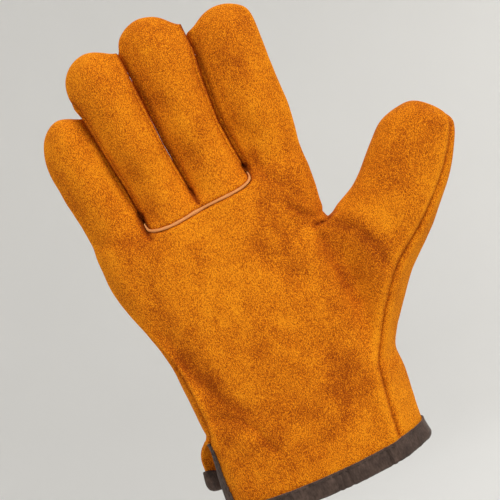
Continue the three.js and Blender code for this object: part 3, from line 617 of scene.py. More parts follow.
class Skin:
    """The smooth surface at one fineness: points, normals, faces, and each face's panel."""

    def __init__(self, cage, levels):
        holder = bpy.data.objects.new("glove_skin", cage)
        smooth = holder.modifiers.new("Smooth", "SUBSURF")
        smooth.levels = smooth.render_levels = levels
        smooth.use_limit_surface = True
        smooth.boundary_smooth = "ALL"
        self.mesh = baked_mesh(holder)
        self.points = self.read("vertices", "co", 3)
        self.normals = self.read("vertex_normals", "vector", 3)
        self.quads = self.read("loops", "vertex_index", 1, np.int64).reshape(-1, 4)
        self.panel = self.attribute("panel", np.int64)
        self.rows = self.attribute("row", float)
        index = self.mesh.attributes.new("place", "INT", "POINT")
        index.data.foreach_set("value", np.arange(len(self.points), dtype=np.int32))
        self.find_seams()

    def read(self, items, name, width, kind=float):
        """Values of the mesh's points or corners as one array, a row to each."""
        source = getattr(self.mesh, items)
        values = np.empty(len(source) * width, kind)
        source.foreach_get(name, values)
        return values.reshape(-1, width) if width > 1 else values

    def attribute(self, name, kind):
        """Values of an attribute that the cage was given."""
        data = self.mesh.attributes[name].data
        values = np.empty(len(data), kind)
        data.foreach_get("value", values)
        return values

    def find_seams(self):
        """Sorts the edges into open ones, at the hem and the slit, and seams between two panels."""
        sides = np.stack([self.quads, np.roll(self.quads, -1, axis=1)], axis=2)
        pairs = np.sort(sides.reshape(-1, 2), axis=1)
        owner = np.repeat(self.panel, 4)
        order = np.lexsort((pairs[:, 1], pairs[:, 0]))
        pairs, owner = pairs[order], owner[order]
        same = np.all(pairs[1:] == pairs[:-1], axis=1)
        twin = np.append(same, False) | np.insert(same, 0, False)
        self.open_edges = {tuple(pair) for pair in pairs[~twin].tolist()}
        self.find_tape(np.unique(pairs[~twin]))
        first = np.flatnonzero(same)
        parted = first[owner[first] != owner[first + 1]]
        self.seam_edges = pairs[parted]
        self.seam_panels = np.sort(np.stack([owner[parted], owner[parted + 1]], axis=1), axis=1)

    def find_tape(self, rim):
        """The faces under the tape: the hem's row, and a band up the palm's edge of the slit that narrows."""
        widest, taper = 5.6 * MM, 1.6
        middles = self.points[self.quads].mean(axis=1)
        marks = self.attribute("tape", np.int64)
        self.tape = marks == AT_HEM
        slit = rim[self.rows[rim] > 0.5]
        beside = np.flatnonzero(marks == AT_SLIT)
        _, away = nearest(middles[beside], self.points[slit], 1.0)
        rows = self.rows[self.quads[beside]].mean(axis=1)
        width = widest * np.clip((SLIT_ROWS - rows) / taper, 0, 1)
        self.tape[beside[(away < width) & (self.panel[beside] == PALM)]] = True

    def seam_of(self, number):
        """Points on the seams of one panel."""
        own = np.any(self.seam_panels == number, axis=1)
        return np.unique(self.seam_edges[own])

    def welt_line(self):
        """The points of the welt's seam, in order from the little finger side."""
        on_welt = np.all(self.seam_panels == (PALM, TWO_FINGER), axis=1)
        links = {}
        for a, b in self.seam_edges[on_welt]:
            links.setdefault(a, []).append(b)
            links.setdefault(b, []).append(a)
        ends = [i for i, near in links.items() if len(near) == 1]
        line = [min(ends, key=lambda i: self.points[i, 0])]
        while True:
            ahead = [i for i in links[line[-1]] if i not in line[-2:]]
            if not ahead:
                return line
            line.append(ahead[0])

    def finger_ends(self, floor):
        """Points above a height where three panels meet, at the upper ends of the fourchettes."""
        pairs = {}
        for (a, b), panels in zip(self.seam_edges.tolist(), self.seam_panels.tolist()):
            for point in (a, b):
                pairs.setdefault(point, set()).update(panels)
        return [i for i, panels in pairs.items() if len(panels) > 2 and self.points[i, 2] > floor]


def nearest(points, targets, reach):
    """For each point the nearest target within reach: its number, or -1, and how far it is."""
    tree = kdtree.KDTree(len(targets))
    for i, target in enumerate(targets):
        tree.insert(target, i)
    tree.balance()
    which = np.full(len(points), -1)
    away = np.full(len(points), reach)
    for i, point in enumerate(points):
        _, number, distance = tree.find(point)
        if distance < reach:
            which[i], away[i] = number, distance
    return which, away


def ease_seams(skin, steps):
    """Rounds the corners of the seams along the leather, and moves the leather beside them along."""
    count = np.bincount(skin.seam_edges.ravel(), minlength=len(skin.points))
    links = np.concatenate([skin.seam_edges, skin.seam_edges[:, ::-1]])
    links = links[count[links[:, 0]] == 2]
    bending = np.unique(links[:, 0])
    eased = skin.points.copy()
    for _ in range(steps):
        total = np.zeros_like(eased)
        np.add.at(total, links[:, 0], eased[links[:, 1]])
        eased[bending] = 0.5 * eased[bending] + 0.25 * total[bending]
    move = eased - skin.points
    move -= skin.normals * np.sum(move * skin.normals, axis=1)[:, None]
    seams = np.unique(skin.seam_edges)
    kept = move[seams]
    sides = skin.quads.ravel(), np.roll(skin.quads, -1, axis=1).ravel()
    near = np.bincount(sides[0], minlength=len(move)) + np.bincount(sides[1], minlength=len(move))
    for _ in range(steps):
        spread = [np.bincount(sides[0], move[sides[1], axis], len(move))
                  + np.bincount(sides[1], move[sides[0], axis], len(move)) for axis in range(3)]
        move = np.stack(spread, axis=1) / near[:, None]
        move[seams] = kept
    skin.points += move


def along_path(flat, corners):
    """How far each point of the plane is from a path, and the way from the path to it."""
    away = np.full(len(flat), 1.0)
    side = np.zeros_like(flat)
    for start, end in zip(corners, corners[1:]):
        along = end - start
        share = np.clip((flat - start) @ along / (along @ along), 0, 1)
        offset = flat - start - share[:, None] * along
        distance = np.linalg.norm(offset, axis=1)
        closer = distance < away
        away[closer] = distance[closer]
        side[closer] = offset[closer] / np.maximum(distance[closer], 1e-9)[:, None]
    return away, side


def wall_gap(skin, flat, away, side, heights):
    """How far the finger beside a crease stands from it, at each point of the skin."""
    upright, furthest, slice_height = 0.75, 9 * MM, 1.6 * MM
    toward = -np.sum(skin.normals[:, [0, 2]] * side, axis=1)
    gap = np.zeros(len(flat))
    for hand in (-1, 1):
        own = side[:, 0] * hand > 0
        wall = own & (toward > upright) & (away < furthest)
        found = []
        for height in heights:
            close = away[wall & (np.abs(flat[:, 1] - height) < slice_height)]
            found.append(close.min() if len(close) else 0.0)
        gap[own] = np.interp(flat[own, 1], heights, found)
    return gap


def close_creases(skin, lengths):
    """Rolls the fingers' fronts toward each other, so that each pair meets in one narrow crease, and paints
    shade there: a dark line along each crease, a painted shadow on the flank of the finger to its right, and
    a dark line along the dart.
    """
    begin, full, fade = lengths.high(0.618), lengths.high(0.02), 6 * MM
    overlap, roll, furthest = 0.7 * MM, 4.5 * MM, 1.07
    left_deep, left_reach, right_deep, right_reach = 0.9 * MM, 2.2 * MM, 1.7 * MM, 3.6 * MM
    line_reach, shadow_reach, shadow_dark, dart_shade = 0.8 * MM, 2.6 * MM, 0.62, 0.85
    turned_away, crease_reach, slices = 0.4, 4 * MM, 40
    flat = skin.points[:, [0, 2]].copy()
    facing = np.clip((turned_away - skin.normals[:, 1]) / turned_away, 0, 1)
    above = np.clip((flat[:, 1] - begin) / full, 0, 1)
    skin.in_crease = np.zeros(len(flat))
    # Painted shade: how dark each point is painted along the creases and the dart
    skin.dark = np.zeros(len(flat))
    for path in CREASES:
        corners = lengths.path(path)
        away, side = along_path(flat, corners)
        below_end = np.clip((corners[-1][1] - flat[:, 1]) / fade + 1, 0, 1)
        weight = facing * above * below_end
        gap = wall_gap(skin, flat, away, side, np.linspace(corners[0][1], corners[-1][1], slices))
        shift = (gap + overlap) * hump(np.maximum(away - gap, 0), roll)
        close = np.minimum(shift, furthest * away) * weight
        left = side[:, 0] < 0
        press = np.where(left, left_deep, right_deep) * hump(away, np.where(left, left_reach, right_reach))
        skin.points[:, [0, 2]] -= side * close[:, None]
        skin.points[:, 1] += press * weight
        now = away - close
        skin.in_crease = np.maximum(skin.in_crease, hump(now, crease_reach) * weight)
        shadow = np.where(left, 0.0, shadow_dark * hump(now, shadow_reach))
        skin.dark = np.maximum(skin.dark, np.maximum(hump(now, line_reach), shadow) * facing)
    # A dark line of painted shade along the dart at the thumb's root
    away, _ = along_path(flat, lengths.path(DART))
    skin.dark = np.maximum(skin.dark, dart_shade * hump(away, line_reach) * facing)


def fold_depth(skin, lengths):
    """How deep each point is pressed in by the folds, and how its colour changes: painted shade in the folds,
    and patches that are partly the suede's own uneven tone and partly painted shade and highlights.
    """
    begin, full = lengths.high(0.648), lengths.high(0.01)
    slow_scale, slow_high, quick_scale, quick_high = 45, 0.45, 150, 0.16
    depth = np.zeros(len(skin.points))
    stain = np.zeros(len(skin.points))
    flat = skin.points[:, [0, 2]]
    above = np.clip((flat[:, 1] - begin) / full, 0, 1)
    free = 1 - skin.in_crease * above
    for side, reach, deep, crisp, path in FOLDS:
        away, _ = along_path(flat, lengths.path(path))
        facing = np.clip(0.5 + 1.5 * side * skin.normals[:, 1], 0, 1)
        press = np.exp(-(away / (reach * MM)) ** crisp) * facing
        depth += press * deep * MM * free
        # The folds' hollows get painted shade
        stain += press * max(deep, 0) * FOLD_PAINTED_SHADE
    facing = np.clip(-skin.normals[:, 1] * 2, 0, 1)
    # The patches: partly the suede's own uneven tone, partly painted shade and painted highlights
    for x, z, reach, dark in PATCHES:
        away = np.linalg.norm(flat - lengths.path([(x, z)])[0], axis=1)
        stain += hump(away, reach * MM) * dark * facing * PATCH_TONE_AND_PAINTED_LIGHT
    for i, point in enumerate(skin.points):
        slow = noise.noise(Vector(point) * slow_scale)
        quick = noise.noise(Vector(point) * quick_scale)
        depth[i] += (slow_high * slow + quick_high * quick) * MM * free[i]
    return depth, stain


def rim_of(skin, faces):
    """The edges round some of the skin's faces, each as the two points that it runs between."""
    edges = [(quad[k], quad[(k + 1) % 4]) for quad in faces.tolist() for k in range(4)]
    held = set(edges)
    return [(i, j) for i, j in edges if (j, i) not in held]


def way_in(skin, rim):
    """The way along the skin and in from a rim, at each point of the rim."""
    heading = np.zeros_like(skin.points)
    for i, j in rim:
        across = np.cross(skin.normals[i], skin.points[j] - skin.points[i])
        heading[i] += across
        heading[j] += across
    length = np.linalg.norm(heading, axis=1)
    heading[length > 0] /= length[length > 0, None]
    return heading


def seam_shape(skin, number, sizes):
    """How a panel's skin dips and draws back at its seams, where painted shade darkens the seam's valley, and
    where a painted highlight brightens its lip.
    """
    welt_reach, welt_deep, welt_lip_highlight, welt_room = 0.7, 0.55, 0.2, 0.47
    swell_at, swell_wide, swell_high = 1.15, 0.5, 0.22
    end_reach, end_flat, crease_flat, fade_reach = 9 * MM, 0.9, 0.8, 2.2
    mine = np.unique(skin.quads[skin.panel == number])
    seams = skin.seam_of(number)
    line = skin.points[seams]
    welted = np.zeros(len(skin.points), bool)
    if number in (PALM, TWO_FINGER):
        welted[skin.welt_line()] = True
    taped = np.zeros(len(skin.points), bool)
    taped[skin.quads[skin.tape]] = True
    heading = way_in(skin, rim_of(skin, skin.quads[skin.panel == number]))
    which, away = nearest(skin.points[mine], line, sizes.seam_reach * 2)
    down = np.zeros(len(skin.points))
    shift = np.zeros_like(skin.points)
    shade = np.zeros(len(skin.points))
    lip_highlight = np.zeros(len(skin.points))
    near = which >= 0
    points = mine[near]
    target = seams[which[near]]
    on_welt = welted[target]
    _, from_end = nearest(line, skin.points[skin.finger_ends(0.7 * sizes.glove_length)], 1.0)
    strength = 1 - end_flat * hump(from_end, end_reach)
    reach = np.where(on_welt, welt_reach, 1.0) * sizes.seam_reach
    deep = np.where(on_welt, welt_deep, 1.0) * sizes.seam_depth * np.where(taped[target], 0.0, 1.0)
    deep *= strength[which[near]] * (1 - crease_flat * skin.in_crease[target])
    share = np.clip(1 - away[near] / reach, 0, 1)
    swell = hump(away[near] / reach - swell_at, swell_wide)
    down[points] = deep * (share ** 2 - swell_high * swell)
    # The seam's lip gets a painted highlight, weaker on the welt and in the creases
    lip_highlight[points] = swell * (1 - skin.in_crease[points]) * np.where(on_welt, welt_lip_highlight, 1.0)
    # The seam's valley gets painted shade, less in the creases
    shade[points] = share * (1 - crease_flat * skin.in_crease[points])
    back = np.where(on_welt, sizes.welt_size * welt_room, sizes.seam_gap / 2)
    fade = np.clip(1 - away[near] / (fade_reach * sizes.seam_reach), 0, 1) ** 2
    shift[points] = heading[target] * (back * fade)[:, None]
    return down, shift, shade, lip_highlight


def trimmed(skin, wanted):
    """A mesh in edit form that holds only the wanted faces of a skin, and the layer of their places."""
    bm = bmesh.new()
    bm.from_mesh(skin.mesh)
    bm.faces.ensure_lookup_table()
    unwanted = [bm.faces[i] for i in np.flatnonzero(~wanted).tolist()]
    bmesh.ops.delete(bm, geom=unwanted, context="FACES")
    return bm, bm.verts.layers.int["place"]


def glove_object(name, mesh, material):
    """A finished piece in the scene."""
    piece = bpy.data.objects.new(name, mesh)
    bpy.context.scene.collection.objects.link(piece)
    mesh.materials.clear()
    mesh.materials.append(material)
    mesh.shade_smooth()
    mesh.set_sharp_from_angle(angle=SHARP_ANGLE)
    return piece


class Workshop:
    """What several pieces share: the skins and how the folds press them."""

    def __init__(self, sizes):
        self.lengths = Lengths(sizes)
        cage = glove_cage(self.lengths)
        self.outside, self.inside = Skin(cage, OUTER_LEVELS), Skin(cage, INNER_LEVELS)
        for skin, steps in ((self.outside, OUTER_EASING), (self.inside, INNER_EASING)):
            ease_seams(skin, steps)
            close_creases(skin, self.lengths)
        self.outer_depth, self.stain = fold_depth(self.outside, self.lengths)
        self.inner_depth, _ = fold_depth(self.inside, self.lengths)


bench = {}


def workshop(context):
    """The shared skins, made by the first piece that needs them."""
    if "shared" not in bench:
        bench["shared"] = Workshop(context.scene.glove_sizes)
    return bench["shared"]


def leather_panel(shop, number, sizes):
    """One panel as a closed wall: the outer skin, the inner skin and the cut edge between them."""
    # How strongly the creases' painted shade goes into the shade attribute, and how bright the painted
    # highlight on the seams' lips is on the palm and on the other panels
    crease_shade_scale, palm_lip_highlight, back_lip_highlight = 1.46, 0.55, 0.2
    outside, inside = shop.outside, shop.inside
    down, shift, shade, lip_highlight = seam_shape(outside, number, sizes)
    # The seams' lips brighten the tone with a painted highlight
    stain = shop.stain - (palm_lip_highlight if number == PALM else back_lip_highlight) * lip_highlight
    places = outside.points - outside.normals * (down + shop.outer_depth)[:, None] + shift
    bm, key = trimmed(outside, outside.panel == number)
    shade_layer, tone_and_painted_light_layer = bm.verts.layers.float.new("shade"), bm.verts.layers.float.new("stain")
    for vertex in bm.verts:
        place = vertex[key]
        vertex.co = places[place]
        # Painted shade at the seams, along the creases and along the dart
        vertex[shade_layer] = max(shade[place], crease_shade_scale * outside.dark[place])
        vertex[tone_and_painted_light_layer] = stain[place]
    down, shift, _, _ = seam_shape(inside, number, sizes)
    depth = sizes.leather + np.maximum(down, 0) + shop.inner_depth
    places = inside.points - inside.normals * depth[:, None] + shift
    lining, key = trimmed(inside, inside.panel == number)
    for vertex in lining.verts:
        vertex.co = places[vertex[key]]
    bmesh.ops.reverse_faces(lining, faces=lining.faces)
    take_in(bm, lining)
    bmesh.ops.bridge_loops(bm, edges=[edge for edge in bm.edges if edge.is_boundary])
    return finished_mesh(bm, PANELS[number] + "_leather")


def pucker(place, turn=0.0):
    """How far the tape stands out in its gathers, which are weaker round the edge."""
    gather_high, fine_high, edge_less = 0.3, 0.08, 0.7
    pinch_reach, lift_high, lift_from, lift_reach = 0.75, 0.35, 1.9, 1.0
    gather = noise.noise(Vector((place[0] * 190, place[1] * 190, place[2] * 25)))
    fine = noise.noise(Vector((place[0] * 600, place[1] * 600, place[2] * 120)))
    x = place[0] / MM
    pinch = 0.0
    if place[1] < 0:
        pinch = sum(deep * (hump(x - at, pinch_reach) - lift_high * hump(x - at - lift_from, lift_reach))
                    for at, deep in PINCHES)
    return (gather_high * gather + fine_high * fine - pinch * (1 - edge_less * math.sin(turn))) * MM


def cuff_tape(shop, sizes):
    """The tape on the outside, round the edge of the leather and up again inside, as one sheet."""
    steps = 8
    skin = shop.outside
    outward = -way_in(skin, rim_of(skin, skin.quads))
    centre = skin.points - skin.normals * (sizes.leather / 2 + shop.outer_depth)[:, None]
    radius = sizes.leather / 2 + sizes.tape_gap + sizes.tape_thickness

    def at(place, turn):
        swing = skin.normals[place] * math.cos(turn) + outward[place] * math.sin(turn)
        return Vector(centre[place] + swing * (radius + pucker(centre[place], turn)))

    def on_rim(edge):
        return edge.is_boundary and tuple(sorted(v[key] for v in edge.verts)) in skin.open_edges

    bm, key = trimmed(skin, skin.tape)
    for vertex in bm.verts:
        vertex.co = at(vertex[key], 0)
    rim = [edge for edge in bm.edges if on_rim(edge)]
    for step in range(1, steps + 1):
        made = bmesh.ops.extrude_edge_only(bm, edges=rim)["geom"]
        new = {item for item in made if isinstance(item, bmesh.types.BMVert)}
        rim = [item for item in made if isinstance(item, bmesh.types.BMEdge)
               and new.issuperset(item.verts) and on_rim(item)]
        for vertex in new:
            vertex.co = at(vertex[key], math.pi * step / steps)
    inner, inner_key = trimmed(skin, skin.tape)
    for vertex in inner.verts:
        vertex.co = at(vertex[inner_key], math.pi)
    bmesh.ops.reverse_faces(inner, faces=inner.faces)
    take_in(bm, inner)
    bmesh.ops.remove_doubles(bm, verts=bm.verts, dist=0.001 * MM)
    return finished_mesh(bm, "cuff_tape")


def tape_border(skin):
    """The chains of points along the tape's upper edge, and the way from them into the tape."""
    border = [(i, j) for i, j in rim_of(skin, skin.quads[skin.tape])
              if (min(i, j), max(i, j)) not in skin.open_edges]
    ahead = dict(border)
    reached = set(ahead.values())
    chains = []
    for start in [i for i in ahead if i not in reached]:
        chain = [start]
        while chain[-1] in ahead:
            chain.append(ahead[chain[-1]])
        chains.append(chain)
    return chains, way_in(skin, border)


def tape_stitches(shop, sizes):
    """Short stitches of thread in a row along the tape's upper edge."""
    skin = shop.outside
    chains, heading = tape_border(skin)
    bm = bmesh.new()
    for chain in chains:
        path = []
        for i in chain:
            lift = sizes.tape_gap + sizes.tape_thickness + pucker(skin.points[i]) - shop.outer_depth[i]
            path.append(skin.points[i] + heading[i] * STITCH_INSET + skin.normals[i] * lift)
        path = smoothed(np.array(path), 12)
        run = travelled(path)
        for k in range(int(run[-1] / STITCH_PITCH)):
            middle = (k + 0.5) * STITCH_PITCH
            ends = [Vector([np.interp(middle + half, run, path[:, axis]) for axis in range(3)])
                    for half in (-HALF_STITCH, HALF_STITCH)]
            along = ends[1] - ends[0]
            turn = along.to_track_quat("X", "Z").to_matrix().to_4x4()
            shape = Matrix.Diagonal((along.length / 2, HALF_THREAD, HALF_THREAD, 1))
            place = Matrix.Translation((ends[0] + ends[1]) / 2) @ turn @ shape
            bmesh.ops.create_uvsphere(bm, u_segments=8, v_segments=6, radius=1.0, matrix=place)
    return finished_mesh(bm, "tape_stitches")


def welt_bead(shop, sizes):
    """The welt: a bead that follows its seam, thinner at both ends."""
    sunk, trimmed_end = 0.25 * MM, 4 * MM
    lump_at, lump_reach, lump_high = -8 * MM, 1.6 * MM, 0.35
    thin_end, thickens, waver_high, waver_scale = 0.35, 6, 0.3, 300
    skin = shop.outside
    line = skin.welt_line()
    path = smoothed(skin.points[line] - skin.normals[line] * (shop.outer_depth[line] + sunk)[:, None], 20)
    path = path[travelled(path) > trimmed_end][::2]
    curve = bpy.data.curves.new("welt_path", "CURVE")
    curve.dimensions = "3D"
    curve.bevel_depth = sizes.welt_size / 2
    curve.bevel_resolution = 4
    curve.use_fill_caps = True
    spline = curve.splines.new("POLY")
    spline.points.add(len(path) - 1)
    for k, (point, place) in enumerate(zip(spline.points, path)):
        share = k / (len(path) - 1)
        ends = min(1.0, thin_end + thickens * min(share, 1 - share))
        waver = waver_high * noise.noise(Vector(place) * waver_scale)
        point.co = (*place, 1)
        point.radius = ends + lump_high * hump(place[0] - lump_at, lump_reach) + waver
    mesh = baked_mesh(bpy.data.objects.new("welt_path", curve))
    mesh.name = "finger_welt_bead"
    bpy.data.curves.remove(curve)
    return mesh


class Wire:
    """A socket of a material. Sums and products of wires and numbers add Math nodes."""

    def __init__(self, paint, socket):
        self.paint = paint
        self.socket = socket

    def math(self, operation, first, second):
        return self.paint.node("ShaderNodeMath", {"operation": operation}, {0: first, 1: second})

    def __add__(self, other):
        return self.math("ADD", self, other)

    def __radd__(self, other):
        return self.math("ADD", other, self)

    def __sub__(self, other):
        return self.math("SUBTRACT", self, other)

    def __rsub__(self, other):
        return self.math("SUBTRACT", other, self)

    def __mul__(self, other):
        return self.math("MULTIPLY", self, other)

    def __rmul__(self, other):
        return self.math("MULTIPLY", other, self)

    def __pow__(self, other):
        return self.math("POWER", self, other)


class Paint:
    """A material, and the one way in which its nodes are added."""

    def __init__(self, name):
        self.material = bpy.data.materials.new(name)
        self.material.use_nodes = True
        self.tree = self.material.node_tree
        self.tree.nodes.clear()

    def node(self, kind, settings=None, inputs=None, output=0):
        """Adds a node, sets and feeds it, and gives one of its sockets."""
        made = self.tree.nodes.new(kind)
        settings = dict(settings or {})
        stops = settings.pop("stops", None)
        for name, value in settings.items():
            setattr(made, name, value)
        if stops:
            while len(made.color_ramp.elements) < len(stops):
                made.color_ramp.elements.new(0.5)
            for element, (position, colour) in zip(made.color_ramp.elements, stops):
                element.position = position
                element.color = (*colour, 1)
        for name, value in (inputs or {}).items():
            if isinstance(value, Wire):
                self.tree.links.new(value.socket, made.inputs[name])
            else:
                made.inputs[name].default_value = value
        return Wire(self, made.outputs[output])

    def places(self):
        return self.node("ShaderNodeTexCoord", output="Object")

    def attribute(self, name):
        return self.node("ShaderNodeAttribute", {"attribute_name": name}, output="Fac")

    def mottle(self, places, scale, detail=3.0, roughness=0.55):
        inputs = {"Vector": places, "Scale": scale, "Detail": detail, "Roughness": roughness}
        return self.node("ShaderNodeTexNoise", inputs=inputs)

    def stretched(self, places, scale, turn=(0.0, 0.0, 0.0)):
        return self.node("ShaderNodeMapping", inputs={"Vector": places, "Scale": scale, "Rotation": turn})

    def ramp(self, value, stops):
        return self.node("ShaderNodeValToRGB", {"stops": stops}, {"Fac": value})

    def relief(self, height, strength, distance):
        inputs = {"Height": height, "Strength": strength, "Distance": distance}
        return self.node("ShaderNodeBump", inputs=inputs)

    def finish(self, **inputs):
        """The shader and the output. Names of sockets are given with underscores."""
        named = {name.replace("_", " "): value for name, value in inputs.items()}
        shader = self.node("ShaderNodeBsdfPrincipled", inputs=named)
        output = self.tree.nodes.new("ShaderNodeOutputMaterial")
        self.tree.links.new(shader.socket, output.inputs["Surface"])
        return self.material


def tint(colour, share):
    """A colour made darker or brighter."""
    return tuple(min(1.0, part * share) for part in colour)


def suede_finish(name, colours, lift):
    """Napped suede: broad patches, short fibres that lie this way and that, and painted shade at the seams,
    in the creases and in the folds, with painted highlights on the seams' lips.
    """
    paint = Paint(name)
    places = paint.places()
    cloud = paint.mottle(places, 34.0, 3.0, 0.5)
    patch = paint.mottle(places, 140.0, 4.0, 0.6)
    nap = paint.mottle(paint.stretched(places, (1.0, 1.0, 0.6), (0.0, 0.6, 0.0)), 2200.0, 3.0, 0.75)
    cross = paint.mottle(paint.stretched(places, (1.0, 1.0, 0.5), (0.0, -0.7, 0.0)), 3600.0, 2.0, 0.7)
    stain = paint.attribute("stain")
    shade = paint.attribute("shade")
    tone = (cloud - 0.5) * 0.6 + (patch - 0.5) * 0.45 + (nap - 0.5) * 2.3 + (cross - 0.5) * 2.0
    # The attributes darken the tone with painted shade at the seams, creases and folds and with the patches,
    # partly real tone and partly painted shade and highlights, and brighten it with the painted highlights
    tone = tone + (0.54 + lift) - stain * 0.24 - shade ** 2.0 * 0.22
    colour = paint.ramp(tone, [
        (0.0, tint(colours.dark, 0.6)),
        (0.27, colours.dark),
        (0.56, colours.suede),
        (0.85, colours.bright),
        (1.0, tint(colours.bright, 1.1)),
    ])
    height = nap * 0.6 + cross * 0.3 + patch * 0.5
    normal = paint.relief(height, 0.5, 0.5 * MM)
    return paint.finish(
        Base_Color=colour, Roughness=0.95, Normal=normal, Specular_IOR_Level=0.08,
        Sheen_Weight=0.12, Sheen_Roughness=0.5, Sheen_Tint=(*colours.bright, 1),
    )


def tape_finish(colours):
    """Dark napped tape with a soft rib and rubbed edges."""
    paint = Paint("cuff_tape_finish")
    places = paint.places()
    rib = paint.mottle(paint.stretched(places, (1.0, 1.0, 0.3)), 1500.0, 2.0, 0.5)
    rub = paint.mottle(places, 160.0, 4.0, 0.6)
    lint = paint.mottle(places, 900.0, 2.0, 0.6)
    tone = 0.5 + (rib - 0.5) * 0.8 + (rub - 0.5) * 1.2 + (lint - 0.5) * 0.5
    colour = paint.ramp(tone, [
        (0.1, tint(colours.tape, 0.45)), (0.5, colours.tape), (0.95, tint(colours.tape, 1.9))])
    normal = paint.relief(rib * 0.6 + lint * 0.4, 0.5, 0.4 * MM)
    return paint.finish(Base_Color=colour, Roughness=0.82, Normal=normal, Specular_IOR_Level=0.25,
                        Sheen_Weight=0.2, Sheen_Roughness=0.4)


def thread_finish(colours):
    """Dark thread."""
    paint = Paint("thread_finish")
    twist = paint.mottle(paint.places(), 1800.0, 2.0, 0.5)
    colour = paint.ramp(twist, [(0.3, tint(colours.tape, 0.35)), (0.7, colours.tape)])
    return paint.finish(Base_Color=colour, Roughness=0.7, Specular_IOR_Level=0.3)


def welt_finish(colours):
    """Pale cut leather with orange lint."""
    paint = Paint("welt_finish")
    places = paint.places()
    fibre = paint.mottle(places, 1100.0, 3.0, 0.6)
    smear = paint.mottle(places, 220.0, 3.0, 0.6)
    tone = 0.55 + (fibre - 0.5) * 0.9 + (smear - 0.5) * 0.9
    colour = paint.ramp(tone, [
        (0.1, tint(colours.suede, 0.8)), (0.45, colours.welt), (0.9, tint(colours.welt, 1.25))])
    normal = paint.relief(fibre, 0.4, 0.3 * MM)
    return paint.finish(Base_Color=colour, Roughness=0.85, Normal=normal, Specular_IOR_Level=0.2)


def studio_finish(colours):
    """Pale matt floor."""
    paint = Paint("studio_floor")
    cloud = paint.mottle(paint.places(), 2.0, 2.0, 0.5)
    colour = paint.ramp(cloud, [(0.2, tint(colours.studio, 0.98)), (0.8, tint(colours.studio, 1.01))])
    return paint.finish(Base_Color=colour, Roughness=0.9, Specular_IOR_Level=0.1)


class GLOVE_OT_leather_panels(bpy.types.Operator):
    """Sew the palm, the back, the two-finger panel and the three fourchettes from suede"""

    bl_idname = "glove.leather_panels"
    bl_label = "Leather Panels"

    def execute(self, context):
        sizes, colours = context.scene.glove_sizes, context.scene.glove_colours
        shop = workshop(context)
        palm = suede_finish("palm_suede", colours, 0.0)
        back = suede_finish("back_suede", colours, 0.06)
        for number, node in enumerate(PANELS):
            finish = palm if number in (PALM, TWO_FINGER) else back
            piece = glove_object(node + "_leather", leather_panel(shop, number, sizes), finish)
            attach(piece, "root")
            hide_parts(node)
        return {"FINISHED"}


class GLOVE_OT_cuff_tape(bpy.types.Operator):
    """Fold the dark tape over the hem and the slit, and stitch it"""

    bl_idname = "glove.cuff_tape"
    bl_label = "Cuff Tape"

    def execute(self, context):
        sizes, colours = context.scene.glove_sizes, context.scene.glove_colours
        shop = workshop(context)
        tape = glove_object("cuff_tape", cuff_tape(shop, sizes), tape_finish(colours))
        wall = tape.modifiers.new("Thickness", "SOLIDIFY")
        wall.thickness = sizes.tape_thickness
        wall.offset = -1.0
        stitches = glove_object("tape_stitches", tape_stitches(shop, sizes), thread_finish(colours))
        for piece in (tape, stitches):
            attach(piece, "root")
        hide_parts("cuff_binding")
        return {"FINISHED"}


class GLOVE_OT_finger_welt(bpy.types.Operator):
    """Lay the pale welt into the seam under the ring and the middle finger"""

    bl_idname = "glove.finger_welt"
    bl_label = "Finger Welt"

    def execute(self, context):
        sizes, colours = context.scene.glove_sizes, context.scene.glove_colours
        welt = glove_object("finger_welt_bead", welt_bead(workshop(context), sizes), welt_finish(colours))
        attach(welt, "root")
        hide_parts("finger_welt")
        return {"FINISHED"}


def studio_sweep():
    """A round floor that sweeps up into a wall all the way round."""
    bm = bmesh.new()
    corner = WALL_AWAY - WALL_BEND
    profile = [Vector((0, 0, FLOOR)), Vector((corner, 0, FLOOR))]
    for step in range(1, 13):
        turn = math.pi / 2 * step / 12
        out, up = WALL_BEND * math.sin(turn), WALL_BEND * (1 - math.cos(turn))
        profile.append(Vector((corner + out, 0, FLOOR + up)))
    profile.append(Vector((WALL_AWAY, 0, WALL_TOP)))
    chain = [bm.verts.new(place) for place in profile]
    edges = [bm.edges.new(pair) for pair in zip(chain, chain[1:])]
    bmesh.ops.spin(bm, geom=chain + edges, cent=(0, 0, 0), axis=(0, 0, 1), angle=2 * math.pi, steps=72,
                   use_merge=True, use_duplicate=False)
    bmesh.ops.remove_doubles(bm, verts=bm.verts, dist=0.01 * MM)
    bmesh.ops.recalc_face_normals(bm, faces=bm.faces)
    bmesh.ops.reverse_faces(bm, faces=bm.faces)
    mesh = finished_mesh(bm, "studio_sweep")
    mesh.shade_smooth()
    return mesh


def add_light(name, place, aim, size, power, colour):
    """A soft square light that points at a place and isn't seen itself."""
    data = bpy.data.lights.new(name, "AREA")
    data.shape = "SQUARE"
    data.size = size
    data.energy = power
    data.color = colour
    light = bpy.data.objects.new(name, data)
    bpy.context.scene.collection.objects.link(light)
    light.location = place
    light.rotation_euler = (Vector(aim) - Vector(place)).to_track_quat("-Z", "Y").to_euler()
    light.visible_camera = False


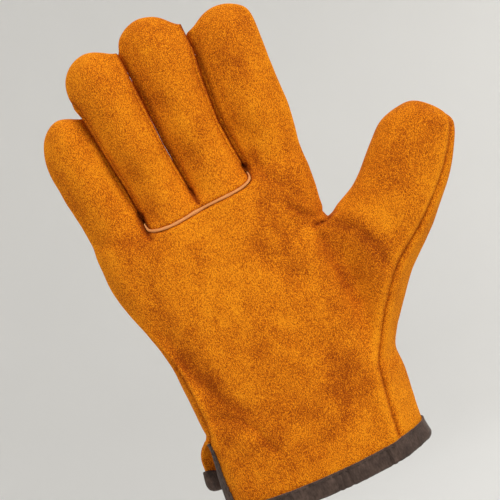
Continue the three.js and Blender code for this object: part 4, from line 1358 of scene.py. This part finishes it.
def add_camera():
    """The camera, level with the palm and leaning as the glove does in the picture."""
    data = bpy.data.cameras.new("camera")
    data.sensor_width = FILM_WIDTH
    data.lens = FILM_WIDTH * CAMERA_DISTANCE / VIEW_WIDTH
    camera = bpy.data.objects.new("camera", data)
    bpy.context.scene.collection.objects.link(camera)
    right = Vector((math.cos(CAMERA_LEAN), 0, -math.sin(CAMERA_LEAN)))
    up = Vector((math.sin(CAMERA_LEAN), 0, math.cos(CAMERA_LEAN)))
    camera.rotation_euler = Matrix((right, up, (0, -1, 0))).transposed().to_euler()
    camera.location = (CAMERA_X, -CAMERA_DISTANCE, CAMERA_Z)
    bpy.context.scene.camera = camera


class GLOVE_OT_studio(bpy.types.Operator):
    """Set up the pale floor, the soft lights and the camera"""

    bl_idname = "glove.studio"
    bl_label = "Studio"

    def execute(self, context):
        scene = context.scene
        sweep = bpy.data.objects.new("studio_sweep", studio_sweep())
        scene.collection.objects.link(sweep)
        sweep.data.materials.append(studio_finish(scene.glove_colours))
        for light in LIGHTS:
            add_light(*light)
        world = bpy.data.worlds.new("studio_world")
        world.use_nodes = True
        background = world.node_tree.nodes["Background"]
        background.inputs["Color"].default_value = SKY_COLOUR
        background.inputs["Strength"].default_value = SKY_STRENGTH
        scene.world = world
        add_camera()
        scene.view_settings.view_transform = "Standard"
        return {"FINISHED"}


class GLOVE_PT_sidebar(bpy.types.Panel):
    """Sizes, colours and the steps that build the glove"""

    bl_label = "Suede Work Glove"
    bl_idname = "GLOVE_PT_sidebar"
    bl_space_type = "VIEW_3D"
    bl_region_type = "UI"
    bl_category = "Glove"

    def draw(self, context):
        for group in (context.scene.glove_sizes, context.scene.glove_colours):
            box = self.layout.box()
            for name in group.__annotations__:
                box.prop(group, name)
        for operator in OPERATORS:
            self.layout.operator(operator.bl_idname)


OPERATORS = (GLOVE_OT_leather_panels, GLOVE_OT_cuff_tape, GLOVE_OT_finger_welt, GLOVE_OT_studio)
CLASSES = (GloveSizes, GloveColours, *OPERATORS, GLOVE_PT_sidebar)


def register():
    for item in CLASSES:
        bpy.utils.register_class(item)
    bpy.types.Scene.glove_sizes = bpy.props.PointerProperty(type=GloveSizes)
    bpy.types.Scene.glove_colours = bpy.props.PointerProperty(type=GloveColours)


def unregister():
    del bpy.types.Scene.glove_colours
    del bpy.types.Scene.glove_sizes
    for item in reversed(CLASSES):
        bpy.utils.unregister_class(item)


def main():
    register()
    bpy.ops.glove.leather_panels()
    bpy.ops.glove.cuff_tape()
    bpy.ops.glove.finger_welt()
    bpy.ops.glove.studio()


if __name__ == "__main__":
    main()
